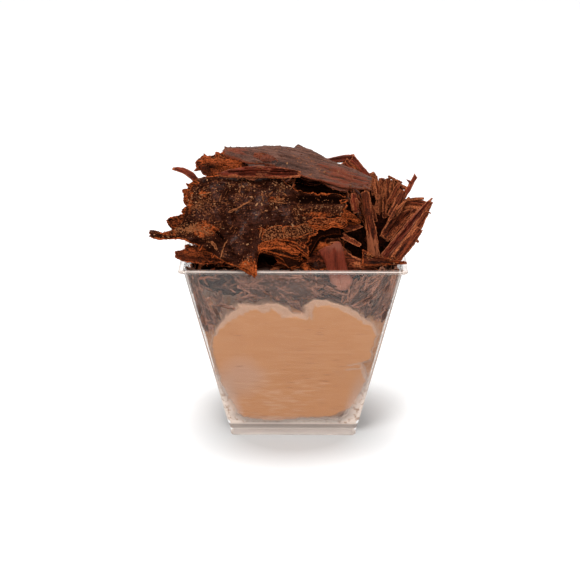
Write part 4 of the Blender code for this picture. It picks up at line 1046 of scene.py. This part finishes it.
        middle=((-16, -2, 1.5), (-9, -7, 7), (0, -9, 8.5), (8, -6.5, 6), (14, -2.5, 0.5)),
        patches=((-9, 4, 4, 2.4, 0.8), (6, -2, 4, 3, 0.7)),
        shelves=(-12, 10, 9, -2.6, 1, 1.6),
        spurs=((-10.4, 6, 120, 2, 1.6), (9, 4.6, 50, 2.2, 1.4), (-6, -7.8, 250, 2, 1.8)),
        crumbs=(90, (0, -2, 6, 4))),
    "slab_side_right": dict(sideSlab, turn=(52, 0, 84), finish="dark",
        rows=((-11, -2, 1), (-9.6, -5.4, 1.8), (-6.6, -5, 6.6), (-3, -7.8, 5.8), (1, -7, 8.4),
              (4.4, -8.8, 7.6), (7, -6, 6.8), (10.4, -6.4, 3.2), (12.6, -3, 3), (14, -2, 1)),
        middle=((-11, -2, 1), (-7, -6, 6), (1, -8.5, 8), (9, -7, 5), (14, -2, 1)),
        patches=((-4, 4, 4, 2.4, 0.8), (7, -3, 4, 3, 0.7)),
        shelves=(-8, 11, 8, -2.6, 1, 1.6),
        spurs=((-6, 6.2, 120, 2.2, 1.6), (8.6, 5, 50, 2, 1.4), (3, -8, 260, 2.2, 1.8)),
        crumbs=(90, (0, -2, 5, 4))),
}

# thin torn layers and slivers, where they differ from the flake that they belong to
tornLayer = {"thick": 0.45, "cell": 0.33, "sag": 0.2, "patches": (), "folds": ()}
sliverLook = dict(sheetLook, thick=0.35, cell=0.2, ragged=0.35, bow=0.1, sag=0.1, pits=0.15, tornness=0.35,
                  splinter=1.0)
# the layers under a flake's lower edge, in mm, and their lengths in shares of the longest
shelfLook = {"longest": 9.0, "length": (0.45, 1.0), "width": (1.6, 3.4), "uneven": 0.5, "lift": 0.75}
# every flake's shape, for what falls on it
flakeTrees = {}
crumbMix = {"variants": 18, "size": (0.08, 0.20), "tones": (0.4, 0.0, -0.1, -0.35, 0.2, -0.8)}
crumbKinds = []
crumbHeap = newSheets()


def makeCrumbKinds(look):
    rng = random.Random(12)
    for index in range(look["variants"]):
        bm = newSheets()
        bmesh.ops.create_icosphere(bm, subdivisions=1, radius=1.0)
        edgeLayer, toneLayer, grainLayer = layersOf(bm)
        stretch = (rng.uniform(0.8, 1.9), rng.uniform(0.6, 1.1), rng.uniform(0.4, 0.9))
        for vert in bm.verts:
            vert.co = Vector([a * b for a, b in zip(vert.co, stretch)]) * rng.uniform(0.75, 1.3)
            vert[edgeLayer] = rng.uniform(0.0, 0.8)
            vert[toneLayer] = look["tones"][index % len(look["tones"])]
            vert[grainLayer] = vert.co * 0.4
        crumbKinds.append(meshOf("crumb", bm))


def stamp(bm, mesh, toWorld):
    mesh.transform(toWorld)
    bm.from_mesh(mesh)
    mesh.transform(toWorld.inverted())


def landOn(tree, toWorld, x, y):
    # where something dropped on a flake lies, and its up
    up = (toWorld.to_3x3() @ Vector((0, 0, 1))).normalized()
    spot, normal = tree.ray_cast(toWorld @ Vector((x, y, 6.0)), -up)[:2]
    if spot is None or normal.dot(up) < 0.3:
        return None
    return spot, normal


def crumbsOn(look, tree, toWorld, seed):
    rng = random.Random(seed)
    rows = look["rows"]
    count, *patches = look["crumbs"]
    spots = [(rng.gauss(x, rx * 0.62), rng.gauss(y, ry * 0.62)) for x, y, rx, ry in patches
             for turn in range(round(count * rx * ry / 100))]
    for turn in range(look["sparse"]):
        x = rng.uniform(rows[0][0], rows[-1][0])
        spots.append((x, rng.uniform(*rowAt(rows, x))))
    for x, y in spots:
        landed = landOn(tree, toWorld, x, y)
        if not landed:
            continue
        spot, normal = landed
        size = rng.uniform(*crumbMix["size"]) * mm * (1.0 + 1.2 * rng.random() ** 6)
        upright = normal.to_track_quat("Z", "Y").to_matrix().to_4x4()
        lying = Matrix.Translation(spot + normal * size * 0.2) @ upright
        stamp(crumbHeap, rng.choice(crumbKinds),
              lying @ Matrix.Rotation(rng.uniform(0, 2 * math.pi), 4, "Z") @ Matrix.Scale(size, 4))


def addShelves(bm, look, top, toWorld, seed, rng):
    start, end, count, inner, outer, deep = look["shelves"]
    span = min(0.5 * (end - start), shelfLook["longest"])

    def lowAt(x):
        return rowAt(look["rows"], x, look["straight"])[0]

    for index in range(count):
        share = (index + 0.5) / count
        length = span * rng.uniform(*shelfLook["length"])
        middle = rng.uniform(start + length * 0.4, end - length * 0.4)
        out = between(inner, outer, share) + rng.uniform(-1, 1) * shelfLook["uneven"]
        width = rng.uniform(*shelfLook["width"])
        strip = []
        for step in range(6):
            x = middle + length * (step / 5 - 0.5)
            tuck = math.sin(math.pi * (0.08 + 0.84 * step / 5))
            edge = lowAt(x) - out + width * 0.6 * (1 - tuck) + rng.uniform(-0.35, 0.35)
            strip.append((x, edge, edge + width * (0.35 + 0.65 * tuck)))
        lift = between(shelfLook["lift"], shelfLook["lift"] - deep, share)
        if out < -0.3:  # one that lies on the flake
            landed = landOn(top, toWorld, middle, lowAt(middle) - out)
            if landed:
                lift = (toWorld.inverted() @ landed[0]).z + 0.2
        under = dict(look, **tornLayer, flare=0.6, tornness=rng.uniform(0.1, 0.9),
                     tone=0.55 * rng.random() ** 2, bow=rng.uniform(-0.3, 0.5), straight=True, ragged=0.6,
                     taper=0.5, ridges=0.12, lumps=0.4, pits=0.12)
        center = Vector((middle, lowAt(middle) - out, 0))
        tilted = (Matrix.Translation(center + Vector((0, 0, lift)))
                  @ Matrix.Rotation(rng.gauss(0.12, 0.12), 4, "X")
                  @ Matrix.Rotation(rng.gauss(0, 0.06), 4, "Y") @ Matrix.Translation(-center))
        addSheet(bm, strip, under, toWorld @ tilted, seed + 50 + index * 1.7)


def addStrips(bm, look, toWorld, seed, rng):
    for index, (lift, torn, tone, *strip) in enumerate(look["strips"]):
        # two more sheets show under the first one, each a little further out and painted darker, as shade
        # under it
        for under in range(3):
            layer = dict(look, **tornLayer, tornness=torn * (0.75 - 0.2 * under), tone=tone + 0.2 * under,
                         straight=False, ragged=0.55, splinter=1.0, taper=0.3, edgeWidth=0.45, bow=0.3,
                         ridges=0.3, lumps=0.35, pits=0.2, shades=())
            drop = Vector((rng.uniform(-0.7, 0.7), -0.28 * under, lift + 0.6 - 0.55 * under))
            addSheet(bm, strip, layer, toWorld @ Matrix.Translation(drop),
                     seed + 30 + index * 1.3 + under * 0.4)


def alongLine(toWorld, middle, x0, y0, x1, y1):
    # matrix for a sheet that lies along a line of a flake, and half its length
    turned = Matrix.Rotation(math.atan2(y1 - y0, x1 - x0), 4, "Z")
    return toWorld @ Matrix.Translation(middle) @ turned, math.hypot(x1 - x0, y1 - y0) / 2


def outlined(half, width, *rows):
    # outline of a sheet from shares of its half length and its width
    return [(half * x, width * low, width * high) for x, low, high in rows]


def addBars(bm, look, toWorld, seed):
    for index, (x0, y0, x1, y1, width, lift) in enumerate(look["bars"]):
        lying, half = alongLine(toWorld, ((x0 + x1) / 2, (y0 + y1) / 2, lift), x0, y0, x1, y1)
        bar = outlined(half, width, (-1, -0.4, 0.3), (-0.4, -0.5, 0.45), (0.3, -0.42, 0.5), (1, -0.35, 0.4))
        rod = dict(look, thick=width * 0.8, ragged=0.15, cell=0.3, bow=0.15, sag=0.3, lumps=0.2, flare=0.0,
                   taper=0.3, patches=(), folds=(), shades=(), splinter=0.3, straight=False, ridges=0.25,
                   tone=max(0.0, look["tone"]), tornness=(0.0, 0.35, 0.7)[index % 3])
        addSheet(bm, bar, rod, lying, seed + 60 + index * 2.1)


def addSpurs(bm, look, toWorld, seed):
    for index, (x, y, way, length, width) in enumerate(look["spurs"]):
        spur = ((-1.2, -width * 0.5, width * 0.5), (length * 0.35, -width * 0.42, width * 0.38),
                (length * 0.75, -width * 0.2, width * 0.25), (length, -0.14, 0.14))
        spike = dict(look, thick=0.8, ragged=0.15, cell=0.28, bow=0.1, sag=0.1, lumps=0.1, flare=0.0,
                     taper=0.4, patches=(), folds=(), splinter=0.1, straight=False)
        along = Matrix.Rotation(math.radians(way), 4, "Z")
        addSheet(bm, spur, spike, toWorld @ Matrix.Translation((x, y, 0.5 * look["bow"])) @ along,
                 seed + 90 + index)


def addSlivers(look, top, toWorld, seed):
    for index, (x0, y0, x1, y1, width) in enumerate(look["slivers"]):
        landed = landOn(top, toWorld, (x0 + x1) / 2, (y0 + y1) / 2)
        if landed:
            middle = (toWorld.inverted() @ landed[0]) + Vector((0, 0, 0.12))
            lying, half = alongLine(toWorld, middle, x0, y0, x1, y1)
            sliver = outlined(half, width * 0.8, (-1, -0.2, 0.3), (-0.4, -0.5, 0.35), (0, -0.2, 0.5),
                              (0.5, -0.5, 0.2), (1, -0.12, 0.12))
            addSheet(crumbHeap, sliver, sliverLook, lying, seed + 140 + index)


def makeFlake(node, look, seed):
    look = dict(sheetLook, **look)
    toWorld = standing(look["by"] or node, look["middle"] or look["rows"], look)
    toWorld = toWorld @ Matrix.Translation((0, 0, look["lift"]))
    bm = newSheets()
    addSheet(bm, look["rows"], look, toWorld, seed)
    top = BVHTree.FromBMesh(bm)
    rng = random.Random(seed)
    if look["shelves"]:
        addShelves(bm, look, top, toWorld, seed, rng)
    addStrips(bm, look, toWorld, seed, rng)
    addBars(bm, look, toWorld, seed)
    addSpurs(bm, look, toWorld, seed)
    flakeTrees[node] = BVHTree.FromBMesh(bm)
    addSlivers(look, top, toWorld, seed)
    if look["crumbs"]:
        crumbsOn(look, top, toWorld, seed)
    finishPiece(node + "_flake", bm, look["finish"], 38, [] if look["by"] else [node])


makeCrumbKinds(crumbMix)
for index, (node, look) in enumerate(flakes.items()):
    makeFlake(node, look, 3.0 + index * 2.37)
finishPiece("crumbs", crumbHeap, "crumb", 60)
print("flakes made", len(flakes))


# the core under the shavings, in painted deep shade: in mm, apart from the cuts and the rounds of smoothing
coreShape = {"shrink": 1.2, "cuts": 2, "rounds": 4, "lumps": 0.8, "wallGap": 0.3, "wallReach": 3.2,
             "dustAndHazeBelow": 60.5}


def makeCore(shape):
    bm = newSheets()
    bm.from_mesh(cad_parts["shavings_bed"].data)
    bmesh.ops.remove_doubles(bm, verts=bm.verts, dist=0.02 * mm)
    bmesh.ops.subdivide_edges(bm, edges=bm.edges, cuts=shape["cuts"], use_grid_fill=True)
    for turn in range(shape["rounds"]):
        bmesh.ops.smooth_vert(bm, verts=bm.verts, factor=0.5, use_axis_x=True, use_axis_y=True,
                              use_axis_z=True)
    bm.normal_update()
    edgeLayer, toneLayer, grainLayer = layersOf(bm)
    moves = []
    for vert in bm.verts:
        p = vert.co / mm
        lump = shape["lumps"] * (bumps(p.x / 2.2, p.y / 2.2, p.z / 2.2) + 0.6 * bumps(p.x, p.y, p.z))
        moves.append(vert.normal * (lump - shape["shrink"]) * mm)
    before = p
    for vert, move in zip(bm.verts, moves):
        beside = max(abs(vert.co.x), abs(vert.co.y)) / mm > innerHalf(vert.co.z / mm) - shape["wallReach"]
        vert.co += move
        if beside and vert.co.z < shape["dustAndHazeBelow"] * mm:
            # what lies against the walls stays close to them, and is lighter with dust and painted haze;
            # going by the vertex before it scatters the darker tone of the upper left
            vert[toneLayer] = -0.1 if before.x < -14 and before.z > 47 and before.y < 0 else -0.8
            before = p = vert.co / mm
            dent = max(0.0, bumps(p.x / 1.6, p.y / 1.6, p.z / 1.6) + 0.15)
            near = innerHalf(p.z) - shape["wallGap"] - 1.1 * dent
            reach = 5.0 if min(abs(p.x), abs(p.y)) > innerHalf(p.z) - 5.0 else 2.6
            for axis in (0, 1):
                if abs(p[axis]) > innerHalf(p.z) - reach:
                    vert.co[axis] = math.copysign(near, p[axis]) * mm
        vert[edgeLayer] = 0.15
        vert[grainLayer] = vert.co / mm
    return finishPiece("shavingsCore", bm, "deepShade", 50, ["shavings_bed"])


core = makeCore(coreShape)
print("core made")


def makeVariants(kind, look, count, rng):
    # a few small meshes of one kind, in mm, each of a few dozen faces
    made = []
    for index in range(count):
        bm = newSheets()
        length = rng.uniform(*look["length"])
        width = rng.uniform(*look["width"])
        lean = rng.uniform(-0.3, 0.3) * width
        rows = ((-length / 2, -width * 0.3, width * 0.3),
                (-length * 0.2, -width * 0.5 + lean, width * 0.5 + lean),
                (length * 0.2, -width * 0.5 - lean, width * 0.5 - lean),
                (length / 2, -width * 0.22, width * 0.22))
        shape = dict(sheetLook, **look, cell=length / look["steps"], bow=rng.uniform(-0.1, 0.3) * width,
                     sag=rng.uniform(-look["curl"], look["curl"]) * length, twist=rng.uniform(-40, 40),
                     ragged=0.25 * width, edgeWidth=0.25 * width, tone=rng.uniform(0, look["darkest"]),
                     splinter=0.3, sharp=True)
        addSheet(bm, rows, shape, Matrix.Identity(4), rng.uniform(0, 90))
        made.append((meshOf(kind, bm), length, width))
    return made


# the loose shavings, in mm, with their curl in shares of their length
shavingKinds = {
    "splinters": {"length": (5, 12), "width": (0.6, 1.3), "thick": 0.45, "steps": 6, "across": 1,
                  "curl": 0.04, "darkest": 0.45, "finish": "light", "lumps": 0.1, "ridges": 0.1, "pits": 0},
    "shavings": {"length": (5, 10), "width": (1.8, 3.2), "thick": 0.35, "steps": 6, "across": 3, "curl": 0.1,
                 "darkest": 0.6, "finish": "pink", "lumps": 0.2, "ridges": 0.2, "pits": 0},
    "fibres": {"length": (2.5, 8), "width": (0.35, 1), "thick": 0.3, "steps": 6, "across": 1, "curl": 0.05,
               "darkest": 0.85, "finish": "dustAndHaze", "lumps": 0.1, "ridges": 0.1, "pits": 0},
    "ribbons": {"length": (4, 9), "width": (1.3, 2.6), "thick": 0.3, "steps": 6, "across": 2, "curl": 0.06,
                "darkest": 0.7, "finish": "dustAndHaze", "lumps": 0.15, "ridges": 0.15, "pits": 0},
    "bits": {"length": (1.4, 3.2), "width": (0.6, 1.5), "thick": 0.5, "steps": 3, "across": 2, "curl": 0.08,
             "darkest": 0.5, "finish": "torn", "lumps": 0.25, "ridges": 0.2, "pits": 0},
}


# hollows in the heap, left empty so that the core's painted deep shade shows: lowest and highest corner, in
# mm
hollows = (((-12.0, -40.0, 60.5), (3.5, -18.0, 68.0)), ((1.0, -24.0, 78.5), (17.5, -4.0, 88.0)),
           ((-33.0, -40.0, 63.0), (-22.0, -20.0, 67.5)), ((17.0, -40.0, 60.5), (23.0, -8.0, 80.0)))
# where loose shavings may lie, in mm
loose = {
    # gaps to flakes, walls and mousse, and how near a wall the mousse counts
    "flakeGap": 0.55, "wallGap": 0.15, "mousseGap": 0.15, "mousseNear": 2.2,
    # none hides a flake from the front: how far back and from what height that holds, and how near before it
    "back": 15, "shownFrom": 59.5, "petalFrom": 55.7, "hiding": 14,
    # nearly all low down, this near a wall, take the finish of dust and painted haze
    "dustAndHazeBelow": 60, "dustAndHazeNear": 3.5,
}
ahead = Vector((0.0, 0.94, -0.33))


def clearOf(points):
    for node, tree in flakeTrees.items():
        lowest = loose["petalFrom" if node == "petal" else "shownFrom"]
        for point in points:
            if tree.find_nearest(point, loose["flakeGap"] * mm)[0] is not None:
                return False
            shown = point.y < loose["back"] * mm and point.z > lowest * mm and "back" not in node
            if shown and tree.ray_cast(point, ahead, loose["hiding"] * mm)[0] is not None:
                return False
    for low, high in hollows:
        for point in points:
            if all(a < value / mm < b for a, value, b in zip(low, point, high)):
                return False
    return True


def inCup(point):
    # inside the walls below the rim, and over the rim's own width above it
    z, top = point.z / mm, cupHigh.z / mm
    room = innerHalf(top) + 1.0 if z > top + 0.8 else innerHalf(z) - loose["wallGap"]
    return max(abs(point.x), abs(point.y)) / mm < room


def offMousse(point):
    # not between a wall and the mousse that lies against it
    x, y, z = point / mm
    if z > mousseShape["top"]:
        return True
    for wall in range(4):
        across, out = wallPlace(wall, x, y)
        if innerHalf(z) + out < loose["mousseNear"] and touching(wall, across, z) < loose["mousseGap"]:
            return False
    return True


# against the walls: heights and depths in mm, what share crowds into the corners, and which way they lie and
# how much that varies, in radians; they slope down to the right in the middle, and stand steeper at the sides
wallLook = {
    "walls": (0, 0, 0, 1, 2, 3), "highest": 59.4, "down": 34, "near": 0.25, "deep": 1.5, "cornered": 0.3,
    "cornerDeep": 2.5, "middle": (-0.45, 0.6), "right": (1.0, 0.35), "rightFrom": 14, "left": (-0.9, 0.7),
    "leftFrom": -22, "corner": 1.3, "cornerVaries": 0.15,
}


def wallSpots(rng, count):
    # places against the four walls, outside the mousse
    look = wallLook
    slope = math.atan2(cupShape["bodyTop"] - cupShape["bodyLow"], cupShape["bodyTall"])
    spots = []
    for attempt in range(count):
        wall = rng.choice(look["walls"])
        z = look["highest"] - look["down"] * rng.random() ** 1.2
        x = rng.uniform(-1, 1) * (innerHalf(z) - 0.3)
        if rng.random() < look["cornered"]:
            x = math.copysign(innerHalf(z) - 0.4 - look["cornerDeep"] * rng.random() ** 1.5, x)
        # few lie high up on the left
        if touching(wall, x, z) < 0.25 or (x < -15 and z > 48 and rng.random() < 0.75):
            continue
        deep = look["near"] + look["deep"] * rng.random() ** 1.6
        way = rng.gauss(*look["middle"])
        if x > look["rightFrom"]:
            way = rng.gauss(*look["right"])
        elif x < look["leftFrom"]:
            way = rng.gauss(*look["left"])
        if abs(x) > innerHalf(z) - 3:
            way = math.copysign(look["corner"], x) + rng.gauss(0, look["cornerVaries"])
        spots.append(Matrix.Rotation(wall * math.pi / 2, 4, "Z")
                     @ Matrix.Translation(Vector((x, -innerHalf(z) + deep, z)) * mm)
                     @ Matrix.Rotation(math.pi / 2 + slope + rng.gauss(0, 0.10), 4, "X")
                     @ Matrix.Rotation(way, 4, "Z") @ Matrix.Rotation(rng.gauss(0, 0.08), 4, "Y"))
    return spots


# on the heap: the lowest place and how far out from the core, in mm; from where on the right they stand and
# how they lean there, across and towards the back; and how much they are tipped, in radians
heapLook = {"lowest": 55, "out": (-0.2, 2.4), "standFrom": 18, "leanRight": (0.45, 0.3), "leanBack": (0, 0.3),
            "tipped": 0.25, "rolled": 0.5}


def heapSpots(rng, count):
    # places on the core's upper side; on the right they stand up, elsewhere they lie as they fell
    look = heapLook
    upper = [face for face in core.data.polygons
             if face.normal.z > -0.1 and face.center.z > look["lowest"] * mm]
    spots = []
    for face in rng.choices(upper, [face.area for face in upper], k=count):
        away = face.center + face.normal * rng.uniform(*look["out"]) * mm
        lying = face.normal.to_track_quat("Z", "Y").to_matrix().to_4x4()
        way = rng.uniform(0, math.pi)
        if away.x > look["standFrom"] * mm and abs(face.normal.z) < 0.9:
            along = Vector((rng.gauss(*look["leanRight"]), rng.gauss(*look["leanBack"]), 1.0))
            flat = lying.to_3x3().transposed() @ along
            way = math.atan2(flat.y, flat.x)
        spots.append(Matrix.Translation(away) @ lying @ Matrix.Rotation(way, 4, "Z")
                     @ Matrix.Rotation(rng.gauss(0, look["tipped"]), 4, "Y")
                     @ Matrix.Rotation(rng.gauss(0, look["rolled"]), 4, "X"))
    return spots


def behindPlastic(point):
    z, out = point.z / mm, max(abs(point.x), abs(point.y)) / mm
    return z < loose["dustAndHazeBelow"] and out > innerHalf(z) - loose["dustAndHazeNear"]


def scatter(kind, wallCount, heapCount, seed):
    rng = random.Random(seed)
    look = shavingKinds[kind]
    variants = makeVariants(kind, look, 16, rng)
    bm = newSheets()
    placed = 0
    for spot in wallSpots(rng, wallCount) + heapSpots(rng, heapCount):
        mesh, length, width = rng.choice(variants)
        toWorld = spot @ Matrix.Scale(mm, 4)
        line = [toWorld @ Vector((length * share, 0, 0)) for share in (-0.5, -0.25, 0, 0.25, 0.5)]
        sides = [toWorld @ Vector((length * share, width * side, 0))
                 for share in (-0.3, 0, 0.3) for side in (-0.5, 0.5)]
        # behind the plastic nearly all take the finish of dust and painted haze
        if look["finish"] != "dustAndHaze" and any(map(behindPlastic, line)) and rng.random() < 0.9:
            continue
        if all(inCup(point) and offMousse(point) for point in line + sides) and clearOf(line):
            stamp(bm, mesh, toWorld)
            placed += 1
    print(kind, "placed", placed, "faces", len(bm.faces))
    finishPiece("loose_" + kind, bm, look["finish"], 45)


# how many are tried against the walls and on the heap, and the seed
for kind, *tried in (("splinters", 90, 1100, 4), ("shavings", 0, 450, 5), ("ribbons", 1100, 0, 8),
                     ("bits", 60, 900, 6), ("fibres", 4400, 0, 7)):
    scatter(kind, *tried)
print("loose shavings made")


def paleFloor():
    # it glows a little further out, so that the room's far floor is as pale as the near one
    shades = Shades("paleFloor", Roughness=0.6, Specular_IOR_Level=0.2, Emission_Strength=0.6)
    where = shades.place()
    away = shades.away(where, (0, -0.012, 0))
    soft = shades.cloud(where, 30.0, 2.0)
    shades.into(Base_Color=shades.mixed(soft, (0.53, 0.53, 0.53), (0.55, 0.55, 0.55)),
                Emission_Color=shades.mixed(away.clamped(0.019, 0.046), (0, 0, 0), (1, 1, 1)))
    return shades.material


def makeFloor():
    bm = bmesh.new()
    bmesh.ops.create_grid(bm, x_segments=4, y_segments=4, size=3.0)
    mesh = meshOf("floor", bm)
    mesh.materials.append(paleFloor())
    floor = bpy.data.objects.new("floor", mesh)
    bpy.context.scene.collection.objects.link(floor)
    floor.location.z = -0.0001


def addLamp(name, place, aim, size, power):
    lamp = bpy.data.lights.new(name, "AREA")
    lamp.shape = "DISK"
    lamp.size = size
    lamp.energy = power
    holder = bpy.data.objects.new(name, lamp)
    holder.location = place
    holder.rotation_euler = (Vector(aim) - Vector(place)).to_track_quat("-Z", "Y").to_euler()
    bpy.context.scene.collection.objects.link(holder)


def makeWorld(seen, given):
    # white for whatever looks straight, through or off the plastic at it, dimmer as a light
    world = bpy.data.worlds.new("studio")
    bpy.context.scene.world = world
    world.use_nodes = True
    nodes, links = world.node_tree.nodes, world.node_tree.links
    path = nodes.new("ShaderNodeLightPath")
    mix = nodes.new("ShaderNodeMix")
    mix.inputs[2].default_value = seen
    mix.inputs[3].default_value = given
    links.new(path.outputs["Is Diffuse Ray"], mix.inputs[0])
    links.new(mix.outputs[0], nodes["Background"].inputs["Strength"])
    nodes["Background"].inputs["Color"].default_value = (1, 1, 1, 1)


makeFloor()
makeWorld(1.03, 0.45)
addLamp("key", (-0.14, -0.48, 0.74), (0, 0, 0.06), 0.30, 5.6)
addLamp("fill", (0.30, -0.60, 0.45), (0, 0, 0.05), 0.4, 1.2)
addLamp("top", (0.0, 0.10, 0.80), (0, 0, 0.06), 0.4, 2.6)

camera = bpy.data.cameras.new("camera")
camera.lens = 97.26
camera.sensor_width = 36.0
eye = bpy.data.objects.new("camera", camera)
eye.location = (0.003013, -0.484423, 0.214366)
eye.rotation_euler = (math.radians(70.5), 0.0, math.radians(0.5))
bpy.context.scene.collection.objects.link(eye)
bpy.context.scene.camera = eye
bpy.context.scene.view_settings.view_transform = "Standard"

print("scene done")
